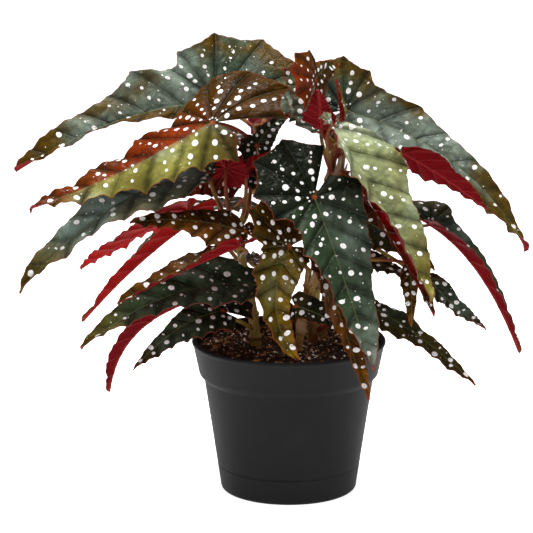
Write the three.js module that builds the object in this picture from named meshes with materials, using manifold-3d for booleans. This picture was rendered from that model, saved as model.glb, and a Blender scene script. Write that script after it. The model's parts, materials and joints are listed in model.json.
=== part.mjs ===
// A polka dot begonia in a plain nursery pot: pot, soil, jointed canes and separate leaves.
// Millimetres, +Z up. The origin is the centre of the pot's flat underside, and the plant faces -Y.
import * as THREE from 'three';
import { mergeVertices } from 'three/addons/utils/BufferGeometryUtils.js';
import Module from 'manifold-3d';

const wasm = await Module();
wasm.setup();

// Pot
const POT_HEIGHT = 135;
const LIP_RADIUS = 85;
const LIP_BEAD = 2.2;
const BAND_FOOT_RADIUS = 78.7;
const BAND_FOOT_HEIGHT = 106;
const NECK_RADIUS = 74.2;
const NECK_HEIGHT = 100;
const FOOT_RADIUS = 59.8;
const FOOT_ROUND = 3.5;
const SEAM_HEIGHT = 23;
const SEAM_DEPTH = 0.5;
const POT_WALL = 1.6;
const BAND_WALL = 2.5;
const POT_FLOOR = 2.4;
const BAND_BEVEL_WIDTH = 1.5;
const BAND_BEVEL_HEIGHT = 3.2;
const POT_SIDES = 26;
const DRAIN_HOLES = 6;
const DRAIN_RADIUS = 4;
const DRAIN_CIRCLE = 38;

// Soil
const SOIL_EDGE_HEIGHT = 127;
const SOIL_MOUND = 4;
const SOIL_RELIEF = 1.6;
const SOIL_RINGS = 4;
const SOIL_SIDES = 22;
const GAP = 0.3;

// Canes: points of the centre line from the soil up, the radius at the foot and at the top, and the length of
// the stipules at two of the joints. A joint's swelling reaches this share of the way to the next joint
const CANE_JOINTS = 6;
const CANE_SIDES = 6;
const JOINT_SWELL = 0.28;
const JOINT_SPREAD = 0.16;
const STIPULE_JOINTS = [2, 5];
const STIPULE_SLENDERNESS = 2.5;
const STIPULE_THINNESS = 0.3;
const STIPULE_TURN = 137;
const STIPULE_SEAT = 0.7;
const STIPULE_LEAN = 0.4;
// Height and width of a stipule at its foot, belly and point, in shares of its length and width
const STIPULE_SHAPE = [[0, 0.8], [0.45, 1], [1, 0.35]];
const CANES = {
  left: {
    path: [[-28, -8, 118], [-32, -12, 165], [-40, -16, 205], [-45, -18, 243]],
    radius: [4.8, 3.4],
    stipule: 13,
  },
  right: {
    path: [[20, 0, 118], [24, -6, 190], [31, -12, 255], [40, -14, 312]],
    radius: [4.8, 3.4],
    stipule: 24,
  },
  front: {
    path: [[6, -26, 118], [10, -30, 148], [14, -34, 176], [17, -36, 206]],
    radius: [3.8, 2.8],
    stipule: 24,
  },
  back: {
    path: [[-10, 22, 118], [-14, 24, 200], [-22, 22, 275], [-28, 18, 322]],
    radius: [4.8, 3.2],
    stipule: 13,
  },
  side: {
    path: [[28, 26, 118], [36, 30, 190], [42, 32, 250], [48, 30, 305]],
    radius: [4.6, 3.2],
    stipule: 13,
  },
};

// Flat outline of a blade, in lengths of the blade from the stalk's end (0, 0) to the tip (1, 0).
// A wing goes round the base: the angle from the tip's direction in degrees, then the radius.
const WIDE_WING = [[204, 0.29], [170, 0.345], [138, 0.335], [104, 0.28], [70, 0.23]];
const NARROW_WING = [[130, 0.14], [92, 0.235]];
// Side ribs leave the midrib at these places and reach this far out on each side
const RIB_STARTS = [0, 0.15, 0.33, 0.51, 0.68, 0.84, 1];
const WIDE_REACH = [0.16, 0.17, 0.12, 0.09, 0.065, 0.04, 0];
const NARROW_REACH = [0.225, 0.215, 0.165, 0.13, 0.1, 0.055, 0];
const RIB_SLANT = 0.9;
const MARGIN_DENT = 0.1;
// Middle ring of a blade's faces, in shares of the way from the midrib to the margin
const MIDDLE_RING = 0.55;
const BLADE_THICKNESS = 0.7;
// How far a blade's sides and the part behind its stalk curve down, and where along it the fold opens up
const BLADE_CUP = 0.5;
const BLADE_HANG = 0.5;
const FOLD_STARTS = -0.3;
const FOLD_ENDS = 0.12;
// Height of the scallop between two ribs, in shares of the ruffle
const SCALLOP = 0.9;
const STALK_RADIUS = 1.6;
const STALK_SIDES = 4;
const STALK_STEPS = 3;
const STALK_FOOT_SWELL = 1.25;
const STALK_TAPER = 0.4;
// A stalk starts this deep in its cane, leaves it at this slope, and ends this deep in its blade. The pull of
// its bends is a share of its reach, and its lean is how far it comes to the blade from behind
const STALK_SEAT = 0.4;
const STALK_RISE = 37;
const STALK_SINK = 0.2;
const FOOT_PULL = 0.35;
const HEAD_PULL = 0.22;
const STALK_LEAN = 0.2;

const GREEN = 0x39493f;
const OLIVE = 0x6a6a2c;
const BRONZE = 0x6e3c14;
const PALE = 0x8a9468;
const CRIMSON = 0x8a0f1c;

// Leaves: stalk end and tip; height, sideways bow and outward push of the arch between them; roll of the
// blade at both ends in degrees (positive lifts the wide side); side of the wide wing (1 left, -1 right,
// looking to the tip); fold of the halves in degrees; ruffle of the margin in mm; girth widens the blade,
// broad and slim its wide and its narrow side, wing its base lobes, and swing turns the wide one in degrees
const LEAVES = {
  left_top: {
    at: [-66, 60, 334], tip: [-237, 5, 283], arch: 13, roll: [54, 15], wide: -1, fold: 22, ruffle: 4,
    hang: -0.6, broad: 1.24, slim: 0.38, wing: 1.32, swing: -4, lean: 0.1, cane: 'back', joint: 0.97,
    colour: GREEN,
  },
  left_orange: {
    at: [-66, -36, 334], tip: [-221, -60, 264], arch: -6, roll: [38, 34], wide: -1, fold: -20,
    ruffle: 5, hang: 1.1, broad: 1.4, slim: 0.8, wing: 1.25, cane: 'back', joint: 0.9, colour: OLIVE,
  },
  left_grey: {
    at: [-70, -15, 286], tip: [-230, -75, 195], arch: 22, roll: [25, 30], wide: -1, fold: 8, ruffle: 4,
    girth: 0.8, broad: 1.3, slim: 0.85, wing: 0.45, lean: 0.08, cane: 'left', joint: 0.97,
    colour: GREEN, plain: true,
  },
  left_brown: {
    at: [-38, -47, 241.5], tip: [-136, -52, 250], arch: 6, roll: [30, 28], wide: -1, fold: 0,
    ruffle: 2.5, girth: 1.3, slim: 0.9, wing: 0.35, cane: 'left', joint: 0.86, colour: BRONZE,
    plain: true,
  },
  left_scarlet: {
    at: [-88, -10, 252], tip: [-180, -28, 204], arch: 3, roll: [-38, -35], wide: -1, fold: 0,
    ruffle: 2.5, slim: 1.3, wing: 0.85, cane: 'left', joint: 0.78, colour: CRIMSON, plain: true,
  },
  left_folded: {
    at: [-84, 18, 236], tip: [-181, 10, 147], arch: 6, roll: [0, -10], wide: -1, fold: 48, ruffle: 2,
    girth: 0.8, slim: 0.7, wing: 0.8, cane: 'left', joint: 0.7, colour: CRIMSON, plain: true,
  },
  left_bronze: {
    at: [-43, -66, 233], tip: [-146, -80, 186], arch: 2, roll: [-22, 25], wide: -1, fold: 22, ruffle: 3,
    girth: 1.3, wing: 0.5, cane: 'left', joint: 0.75, colour: BRONZE, plain: true,
  },
  left_low: {
    at: [-25, -39, 192], tip: [-177, -88, 149], arch: 19, roll: [30, 25], wide: -1, fold: 4, ruffle: 3,
    broad: 1.25, slim: 0.7, wing: 0.6, cane: 'left', joint: 0.5, colour: GREEN, plain: true,
  },
  left_low_red: {
    at: [-88, -10, 170], tip: [-156, -28, 94], arch: 10, push: 14, roll: [-10, -10], wide: -1, fold: 55,
    ruffle: 2, girth: 0.85, wing: 0.6, cane: 'left', joint: 0.3, colour: CRIMSON, plain: true,
  },
  left_low_dark: {
    at: [-57, -42, 170], tip: [-133, -80, 128], arch: 10, roll: [35, 25], wide: -1, fold: 4, ruffle: 2,
    cane: 'left', joint: 0.22, colour: GREEN, plain: true,
  },
  mid_olive: {
    at: [0, -58, 231], tip: [7, -78, 136], arch: 0, bow: -18, push: 5, roll: [15, 5], wide: -1, fold: 8,
    ruffle: 3, girth: 1.5, slim: 0.6, wing: 1.1, cane: 'front', joint: 1, colour: OLIVE,
  },
  mid_green: {
    at: [21, -58, 274], tip: [70, -122, 139], arch: 4, roll: [-20, -15], wide: -1, fold: 8, ruffle: 4,
    girth: 1.08, wing: 1.12, swing: 6, cane: 'right', joint: 0.75, colour: GREEN,
  },
  mid_hanging: {
    at: [30, -56, 209], tip: [67, -98, 106], arch: 0, roll: [-15, -15], wide: -1, fold: 10, ruffle: 2,
    girth: 0.65, wing: 0.6, cane: 'front', joint: 0.7, colour: BRONZE, plain: true,
  },
  mid_low: {
    at: [5, -49.5, 176.5], tip: [60, -66, 150], arch: 4, roll: [-50, -45], wide: -1, fold: 0, ruffle: 2,
    cane: 'front', joint: 0.5, colour: GREEN, plain: true,
  },
  mid_dark: {
    at: [-33, -16, 284], tip: [-4, -21, 249], arch: 7, roll: [35, 15], wide: 1, fold: 10, ruffle: 2,
    girth: 1.4, wing: 1.1, lean: 0.02, cane: 'left', joint: 0.97, colour: GREEN, plain: true,
  },
  mid_red: {
    at: [-54, -27.8, 292], tip: [-75, -27, 304], arch: 6, roll: [85, 80], wide: 1, fold: 10, ruffle: 2,
    girth: 1.2, wing: 2.1, lean: 0.02, cane: 'left', joint: 0.97, colour: CRIMSON, plain: true,
  },
  mid_tongue: {
    at: [-37, -28, 292], tip: [-6, -26, 305], arch: 3, roll: [-90, -90], wide: 1, fold: 10, ruffle: 2,
    girth: 0.9, wing: 0.8, lean: 0.02, cane: 'left', joint: 0.99, colour: CRIMSON, plain: true,
  },
  mid_back: {
    at: [-28, -1, 307], tip: [0, 25, 328], arch: 6, roll: [65, 50], wide: 1, fold: 10, ruffle: 2,
    girth: 1.2, wing: 1.05, lean: 0.02, cane: 'back', joint: 0.8, colour: GREEN, plain: true,
  },
  top_young: {
    at: [22, -12, 367], tip: [42, 42, 370], arch: 4, roll: [80, 60], wide: 1, fold: 10, ruffle: 1.8,
    hang: 0.2, girth: 1, wing: 1.95, lean: 0.08, cane: 'right', joint: 1, colour: BRONZE, plain: true,
  },
  top_funnel: {
    at: [28, -21, 326], tip: [24, -33, 362], arch: 2, roll: [0, 0], wide: 1, fold: 10, ruffle: 2,
    girth: 2.1, wing: 0.45, lean: 0.02, cane: 'right', joint: 0.98, colour: CRIMSON, plain: true,
  },
  top_roll: {
    at: [45, -18, 333], tip: [40, -16, 369], arch: 0, roll: [10, 10], wide: 1, fold: 50, ruffle: 0.6,
    girth: 0.85, wing: 0.6, lean: 0, cane: 'right', joint: 0.93, colour: OLIVE, plain: true,
  },
  top_blue: {
    at: [28, 2, 322], tip: [-6, 20, 371], arch: 4, roll: [40, 30], wide: -1, fold: 10, ruffle: 2,
    girth: 1.5, wing: 0.5, lean: 0, cane: 'right', joint: 0.88, colour: GREEN, plain: true,
  },
  right_top: {
    at: [49, 33, 332], tip: [206, -14, 217], arch: 15, push: 17, roll: [60, 10], wide: 1, fold: 14,
    ruffle: 4, hang: 0.1, broad: 0.85, wing: 0.85, swing: 6, cane: 'side', joint: 1, colour: GREEN,
  },
  right_pale: {
    at: [37, -36, 331], tip: [120, -100, 193], arch: 6, roll: [0, 0], wide: -1, fold: 28, ruffle: 3.5,
    girth: 1.15, slim: 1.0, wing: 0.25, lean: 0.1, cane: 'right', joint: 0.84, colour: PALE,
  },
  right_red: {
    at: [97, -27, 306], tip: [170, -40, 258], arch: 3, roll: [-55, -45], wide: 1, fold: 0, ruffle: 2,
    broad: 1.2, slim: 1.3, wing: 0.3, cane: 'right', joint: 0.935, colour: CRIMSON, plain: true,
  },
  right_folded: {
    at: [122, -5, 238], tip: [200, -25, 128], arch: 14, push: 4, roll: [5, -15], wide: 1, fold: 48,
    ruffle: 2, girth: 0.9, broad: 0.8, slim: 0.55, wing: 1.0, swing: 10, cane: 'side', joint: 0.66,
    colour: GREEN, plain: true,
  },
  right_mid: {
    at: [121, -14, 192], tip: [171, -32, 151], arch: -2, push: -3, roll: [-30, -25], wide: -1, fold: 4,
    ruffle: 2, girth: 1.0, wing: 0.6, cane: 'side', joint: 0.5, colour: GREEN, plain: true,
  },
  right_low: {
    at: [70, -18, 168], tip: [160, -62, 109], arch: 6, roll: [20, 20], wide: 1, fold: 4, ruffle: 2,
    girth: 0.7, wing: 0.6, cane: 'right', joint: 0.12, colour: GREEN, plain: true,
  },
  right_bronze: {
    at: [104, -34, 208], tip: [105, -50, 158], arch: 0, push: 6, roll: [0, 0], wide: 1, fold: 12,
    ruffle: 2, girth: 0.85, wing: 0.6, cane: 'right', joint: 0.4, colour: BRONZE, plain: true,
  },
  right_behind: {
    at: [62, -14, 270], tip: [124, -62, 170], arch: 4, roll: [-10, -10], wide: -1, fold: 40, ruffle: 2,
    girth: 0.9, wing: 0.6, cane: 'right', joint: 0.64, colour: CRIMSON, plain: true,
  },
  right_dark: {
    at: [62, 0, 242], tip: [126, -24, 202], arch: 4, roll: [45, 35], wide: 1, fold: 15, ruffle: 2,
    girth: 1.35, cane: 'right', joint: 0.54, colour: BRONZE, plain: true,
  },
  right_dark_low: {
    at: [62, 12, 205], tip: [118, -4, 181], arch: 4, roll: [25, 20], wide: 1, fold: 5, ruffle: 2,
    cane: 'side', joint: 0.35, colour: GREEN, plain: true,
  },
  back_left_high: {
    at: [-44, 84, 294], tip: [-128, 134, 246], arch: 14, roll: [0, 0], wide: 1, fold: 8, ruffle: 3,
    wing: 0.6, lean: 0.05, cane: 'back', joint: 0.84, colour: GREEN, plain: true,
  },
  back_high: {
    at: [-20, 84, 326], tip: [-24, 170, 268], arch: 14, roll: [0, 0], wide: -1, fold: 8, ruffle: 3,
    wing: 0.4, cane: 'back', joint: 0.94, colour: GREEN, plain: true,
  },
  back_right_high: {
    at: [66, 66, 316], tip: [138, 118, 266], arch: 14, roll: [0, 0], wide: -1, fold: 8, ruffle: 3,
    wing: 0.8, cane: 'side', joint: 0.95, colour: GREEN, plain: true,
  },
  back_right_mid: {
    at: [72, 62, 258], tip: [118, 130, 176], arch: 14, roll: [0, 0], wide: 1, fold: 8, ruffle: 3,
    wing: 0.6, cane: 'side', joint: 0.75, colour: GREEN, plain: true,
  },
  back_left_mid: {
    at: [-62, 78, 236], tip: [-138, 126, 172], arch: 14, roll: [0, 0], wide: -1, fold: 8, ruffle: 3,
    cane: 'back', joint: 0.68, colour: GREEN, plain: true,
  },
  back_mid: {
    at: [6, 70, 250], tip: [20, 158, 172], arch: 14, roll: [0, 0], wide: 1, fold: 8, ruffle: 3,
    cane: 'back', joint: 0.58, colour: GREEN, plain: true,
  },
  back_left_low: {
    at: [-35, 60, 190], tip: [-90, 118, 140], arch: 12, roll: [0, 0], wide: -1, fold: 8, ruffle: 3,
    cane: 'back', joint: 0.35, colour: GREEN, plain: true,
  },
  left_crimson: {
    at: [-48, 36, 271], tip: [-112, 36, 250], arch: 8, roll: [90, 90], wide: -1, fold: 8, ruffle: 2,
    girth: 1.2, wing: 1, lean: 0.05, cane: 'back', joint: 0.74, colour: CRIMSON, plain: true,
  },
};

const UP = new THREE.Vector3(0, 0, 1);

// A repeatable number from 0 to 1 for a pair of whole numbers
function chance(seed, k) {
  const s = Math.sin(seed * 12.9898 + k * 78.233) * 43758.5453;
  return s - Math.floor(s);
}

function smoothstep(from, to, x) {
  const t = Math.min(Math.max((x - from) / (to - from), 0), 1);
  return t * t * (3 - 2 * t);
}

function vector(values) {
  return new THREE.Vector3(values[0], values[1], values[2]);
}

// A buffer geometry from a list of corners and a list of triangles
function geometryOf(corners, triangles) {
  const geometry = new THREE.BufferGeometry();
  const flat = corners.flatMap((p) => [p.x, p.y, p.z]);
  geometry.setAttribute('position', new THREE.Float32BufferAttribute(flat, 3));
  geometry.setIndex(triangles.flat());
  return geometry;
}

// The manifold solid of a closed geometry, with its shared corners merged
function solidOf(geometry) {
  const bare = geometry.clone();
  bare.deleteAttribute('normal');
  bare.deleteAttribute('uv');
  const merged = mergeVertices(bare, 1e-4);
  const vertProperties = new Float32Array(merged.attributes.position.array);
  const triVerts = new Uint32Array(merged.index.array);
  return new wasm.Manifold(new wasm.Mesh({ numProp: 3, vertProperties, triVerts }));
}

function geometryFrom(solid) {
  const mesh = solid.getMesh();
  const geometry = new THREE.BufferGeometry();
  geometry.setAttribute('position', new THREE.BufferAttribute(new Float32Array(mesh.vertProperties), 3));
  geometry.setIndex(new THREE.BufferAttribute(new Uint32Array(mesh.triVerts), 1));
  return geometry;
}

// A closed tube along a list of points, with a radius at each of them and flat ends. Its width lies along
// the side given, and its thickness is the width times the thinness
function tube(points, radii, sides, start = new THREE.Vector3(1, 0, 0), thinness = 1) {
  const corners = [];
  const triangles = [];
  const side = start.clone();
  points.forEach((point, i) => {
    const before = points[Math.max(i - 1, 0)];
    const after = points[Math.min(i + 1, points.length - 1)];
    const along = after.clone().sub(before).normalize();
    side.addScaledVector(along, -side.dot(along)).normalize();
    const across = along.clone().cross(side);
    for (let k = 0; k < sides; k += 1) {
      const turn = (2 * Math.PI * k) / sides;
      const spoke = side.clone().multiplyScalar(Math.cos(turn)).addScaledVector(across, thinness * Math.sin(turn));
      corners.push(point.clone().addScaledVector(spoke, radii[i]));
    }
  });
  for (let i = 0; i < points.length - 1; i += 1) {
    for (let k = 0; k < sides; k += 1) {
      const a = i * sides + k;
      const b = i * sides + ((k + 1) % sides);
      triangles.push([a, b, b + sides], [a, b + sides, a + sides]);
    }
  }
  const first = corners.length;
  corners.push(points[0].clone(), points[points.length - 1].clone());
  const lastRing = (points.length - 1) * sides;
  for (let k = 0; k < sides; k += 1) {
    const next = (k + 1) % sides;
    triangles.push([first, next, k], [first + 1, lastRing + k, lastRing + next]);
  }
  return geometryOf(corners, triangles);
}

function mesh(name, geometry, colour, roughness) {
  const material = new THREE.MeshStandardMaterial({ color: colour, roughness, metalness: 0 });
  const piece = new THREE.Mesh(geometry, material);
  piece.name = name;
  return piece;
}

// Pot: one turned wall with a flat floor, then the drain holes cut through the floor
function potGeometry() {
  const wallSlope = (NECK_RADIUS - FOOT_RADIUS) / (NECK_HEIGHT - FOOT_ROUND);
  const seamRadius = FOOT_RADIUS + wallSlope * (SEAM_HEIGHT - FOOT_ROUND);
  const flat = FOOT_RADIUS - FOOT_ROUND;
  const profile = [[0, 0], [flat, 0]];
  for (const turn of [30, 60]) {
    const angle = THREE.MathUtils.degToRad(turn);
    profile.push([flat + FOOT_ROUND * Math.sin(angle), FOOT_ROUND * (1 - Math.cos(angle))]);
  }
  profile.push(
    [FOOT_RADIUS, FOOT_ROUND],
    [seamRadius, SEAM_HEIGHT - SEAM_DEPTH],
    [seamRadius - SEAM_DEPTH, SEAM_HEIGHT],
    [seamRadius, SEAM_HEIGHT + SEAM_DEPTH],
    [NECK_RADIUS, NECK_HEIGHT],
    [BAND_FOOT_RADIUS - BAND_BEVEL_WIDTH, BAND_FOOT_HEIGHT - BAND_BEVEL_HEIGHT],
    [BAND_FOOT_RADIUS, BAND_FOOT_HEIGHT],
    [LIP_RADIUS - LIP_BEAD / 2, POT_HEIGHT - 2 * LIP_BEAD],
    [LIP_RADIUS, POT_HEIGHT - LIP_BEAD],
    [LIP_RADIUS - LIP_BEAD * 0.3, POT_HEIGHT - LIP_BEAD * 0.3],
    [LIP_RADIUS - LIP_BEAD, POT_HEIGHT],
    [LIP_RADIUS - 2 * LIP_BEAD, POT_HEIGHT - LIP_BEAD * 0.6],
    [LIP_RADIUS - 2 * LIP_BEAD, POT_HEIGHT - 2 * LIP_BEAD],
    [BAND_FOOT_RADIUS - BAND_WALL, BAND_FOOT_HEIGHT],
    [NECK_RADIUS - POT_WALL, NECK_HEIGHT],
    [FOOT_RADIUS - POT_WALL, FOOT_ROUND],
    [flat, POT_FLOOR],
    [0, POT_FLOOR],
  );
  const points = profile.map((p) => new THREE.Vector2(p[0], p[1]));
  const turned = new THREE.LatheGeometry(points, POT_SIDES);
  turned.rotateX(Math.PI / 2);
  let pot = solidOf(turned);
  for (let k = 0; k < DRAIN_HOLES; k += 1) {
    const turn = (2 * Math.PI * k) / DRAIN_HOLES;
    const hole = new THREE.CylinderGeometry(DRAIN_RADIUS, DRAIN_RADIUS, POT_WALL * 6, 10);
    hole.rotateX(Math.PI / 2);
    hole.translate(DRAIN_CIRCLE * Math.cos(turn), DRAIN_CIRCLE * Math.sin(turn), 0);
    pot = pot.subtract(solidOf(hole));
  }
  return geometryFrom(pot);
}

// Soil: the inside of the pot less a gap, with a low mound of crumbs on top and a hole for each cane
function soilGeometry(canes) {
  const bandInside = BAND_FOOT_RADIUS - BAND_WALL;
  const neckInside = NECK_RADIUS - POT_WALL;
  const wallSlope = (bandInside - neckInside) / (BAND_FOOT_HEIGHT - NECK_HEIGHT);
  const flat = FOOT_RADIUS - FOOT_ROUND;
  const bandSlope = (LIP_RADIUS - 2 * LIP_BEAD - bandInside) / (POT_HEIGHT - 2 * LIP_BEAD - BAND_FOOT_HEIGHT);
  const edge = bandInside + bandSlope * (SOIL_EDGE_HEIGHT - BAND_FOOT_HEIGHT) - 2 * GAP;
  const corners = [];
  const triangles = [];
  const below = [
    [flat - 2 * GAP, POT_FLOOR + GAP],
    [FOOT_RADIUS - POT_WALL - 3 * GAP, FOOT_ROUND + GAP],
    [neckInside - 2 * GAP - wallSlope * GAP, NECK_HEIGHT],
    [bandInside - 2 * GAP - wallSlope * GAP, BAND_FOOT_HEIGHT],
  ];
  const rings = below.map(([radius, z]) => ({ radius, z, ring: -1 }));
  for (let ring = SOIL_RINGS; ring > 0; ring -= 1) {
    rings.push({ radius: (edge * ring) / SOIL_RINGS, z: 0, ring });
  }
  for (const { radius, z, ring } of rings) {
    for (let k = 0; k < SOIL_SIDES; k += 1) {
      const turn = (2 * Math.PI * k) / SOIL_SIDES;
      const share = ring / SOIL_RINGS;
      const crumb = ring === SOIL_RINGS ? 0 : SOIL_RELIEF * (2 * chance(ring, k) - 1);
      const height = SOIL_EDGE_HEIGHT + SOIL_MOUND * (1 - share * share) + crumb;
      corners.push(new THREE.Vector3(radius * Math.cos(turn), radius * Math.sin(turn), ring < 0 ? z : height));
    }
  }
  for (let i = 0; i < rings.length - 1; i += 1) {
    for (let k = 0; k < SOIL_SIDES; k += 1) {
      const a = i * SOIL_SIDES + k;
      const b = i * SOIL_SIDES + ((k + 1) % SOIL_SIDES);
      triangles.push([a, b, b + SOIL_SIDES], [a, b + SOIL_SIDES, a + SOIL_SIDES]);
    }
  }
  const foot = corners.length;
  const lastRing = (rings.length - 1) * SOIL_SIDES;
  corners.push(new THREE.Vector3(0, 0, rings[0].z));
  corners.push(new THREE.Vector3(0, 0, SOIL_EDGE_HEIGHT + SOIL_MOUND));
  for (let k = 0; k < SOIL_SIDES; k += 1) {
    const next = (k + 1) % SOIL_SIDES;
    triangles.push([foot, next, k], [foot + 1, lastRing + k, lastRing + next]);
  }
  let soil = solidOf(geometryOf(corners, triangles));
  for (const cane of Object.values(canes)) {
    soil = soil.subtract(caneTube(cane, GAP));
  }
  return geometryFrom(soil);
}

function caneCurve(cane) {
  return new THREE.CatmullRomCurve3(cane.path.map(vector), false, 'centripetal');
}

function caneRadius(cane, share) {
  const base = THREE.MathUtils.lerp(cane.radius[0], cane.radius[1], share);
  const fromJoint = Math.abs(((share * CANE_JOINTS + 0.5) % 1) - 0.5);
  const swell = Math.max(0, 1 - fromJoint / JOINT_SPREAD);
  return base * (1 + JOINT_SWELL * swell);
}

// Stipule: a thin pointed scale that stands up and out from a joint of its cane
function stipuleGeometry(cane, joint) {
  const share = joint / CANE_JOINTS;
  const turn = THREE.MathUtils.degToRad(STIPULE_TURN * joint);
  const outward = new THREE.Vector3(Math.cos(turn), Math.sin(turn), 0);
  const seat = caneRadius(cane, share) * STIPULE_SEAT;
  const base = caneCurve(cane).getPointAt(share).addScaledVector(outward, seat);
  const points = STIPULE_SHAPE.map(([rise]) => base.clone()
    .addScaledVector(outward, cane.stipule * STIPULE_LEAN * rise)
    .addScaledVector(UP, cane.stipule * rise));
  const radii = STIPULE_SHAPE.map(([, width]) => (width * cane.stipule) / STIPULE_SLENDERNESS / 2);
  return tube(points, radii, 4, UP.clone().cross(outward), STIPULE_THINNESS);
}

// The tube of a cane with its swollen joints, grown on all sides by a gap
function caneTube(cane, gap) {
  const curve = caneCurve(cane);
  const shares = [0];
  for (let joint = 1; joint < CANE_JOINTS; joint += 1) {
    for (const step of [-JOINT_SPREAD, 0, JOINT_SPREAD]) {
      shares.push((joint + step) / CANE_JOINTS);
    }
  }
  shares.push(1);
  const points = shares.map((share) => curve.getPointAt(share));
  points[0].addScaledVector(curve.getTangentAt(0), -gap);
  points.at(-1).addScaledVector(curve.getTangentAt(1), gap);
  const radii = shares.map((share) => (share === 0 ? cane.radius[0] : caneRadius(cane, share)) + gap);
  return solidOf(tube(points, radii, CANE_SIDES));
}

// Cane: its tube with a few stipules fused to it
function caneGeometry(cane) {
  let solid = caneTube(cane, 0);
  for (const joint of STIPULE_JOINTS) {
    solid = solid.add(solidOf(stipuleGeometry(cane, joint)));
  }
  return geometryFrom(solid);
}

// Flat outline points of one side, from the sinus round the wing and along the ribs to the tip
function outline(wing, reach, girth, wingScale, spread, swing) {
  const points = wing.map(([degrees, share]) => {
    const radius = share * wingScale;
    const angle = THREE.MathUtils.degToRad(degrees + swing);
    return new THREE.Vector2(radius * Math.cos(angle), radius * Math.sin(angle) * girth);
  });
  reach.forEach((share, i) => {
    const b = share * spread;
    points.push(new THREE.Vector2(RIB_STARTS[i] + RIB_SLANT * b, b * girth));
  });
  return points;
}

// Where the column of a side starts on the midrib; columns of the wing all start at the stalk
function columnStart(wing, column) {
  const along = Math.max(column - wing.length, 0);
  const rib = Math.min(Math.floor(along), RIB_STARTS.length - 2);
  return THREE.MathUtils.lerp(RIB_STARTS[rib], RIB_STARTS[rib + 1], along - rib);
}

// The midrib of a leaf: a curve from the stalk's end to the tip through its arch
function midrib(leaf) {
  const from = vector(leaf.at);
  const to = vector(leaf.tip);
  const chord = to.clone().sub(from).setZ(0).normalize();
  const left = UP.clone().cross(chord);
  const middle = from.clone().add(to).multiplyScalar(0.5);
  const bend = UP.clone().multiplyScalar(leaf.arch).addScaledVector(left, leaf.bow ?? 0);
  bend.addScaledVector(chord, leaf.push ?? 0);
  const curve = new THREE.QuadraticBezierCurve3(from, middle.addScaledVector(bend, 2), to);
  return { curve, length: curve.getLength(), left };
}

// The place in space of the flat point (a, b) of a leaf, raised by lift along the blade's normal
function onBlade(leaf, rib, a, b, lift) {
  const along = Math.min(Math.max(a, 0), 1);
  const tangent = rib.curve.getTangentAt(along);
  const point = rib.curve.getPointAt(along).addScaledVector(tangent, Math.min(a, 0) * rib.length);
  const side = rib.left.clone().multiplyScalar(leaf.wide);
  side.addScaledVector(tangent, -side.dot(tangent)).normalize();
  const normal = tangent.clone().cross(side).multiplyScalar(leaf.wide);
  const turn = THREE.MathUtils.degToRad(THREE.MathUtils.lerp(leaf.roll[0], leaf.roll[1], along));
  const out = side.clone().multiplyScalar(Math.cos(turn)).addScaledVector(normal, Math.sin(turn));
  const face = normal.multiplyScalar(Math.cos(turn)).addScaledVector(side, -Math.sin(turn));
  const across = b * rib.length;
  const fold = THREE.MathUtils.degToRad(leaf.fold) * smoothstep(FOLD_STARTS, FOLD_ENDS, a);
  const back = Math.min(a, 0);
  const rise = Math.abs(across) * Math.sin(fold)
    - BLADE_CUP * rib.length * b * b
    - (leaf.hang ?? BLADE_HANG) * rib.length * back * back;
  return point.addScaledVector(out, across * Math.cos(fold)).addScaledVector(face, rise + lift);
}

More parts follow.
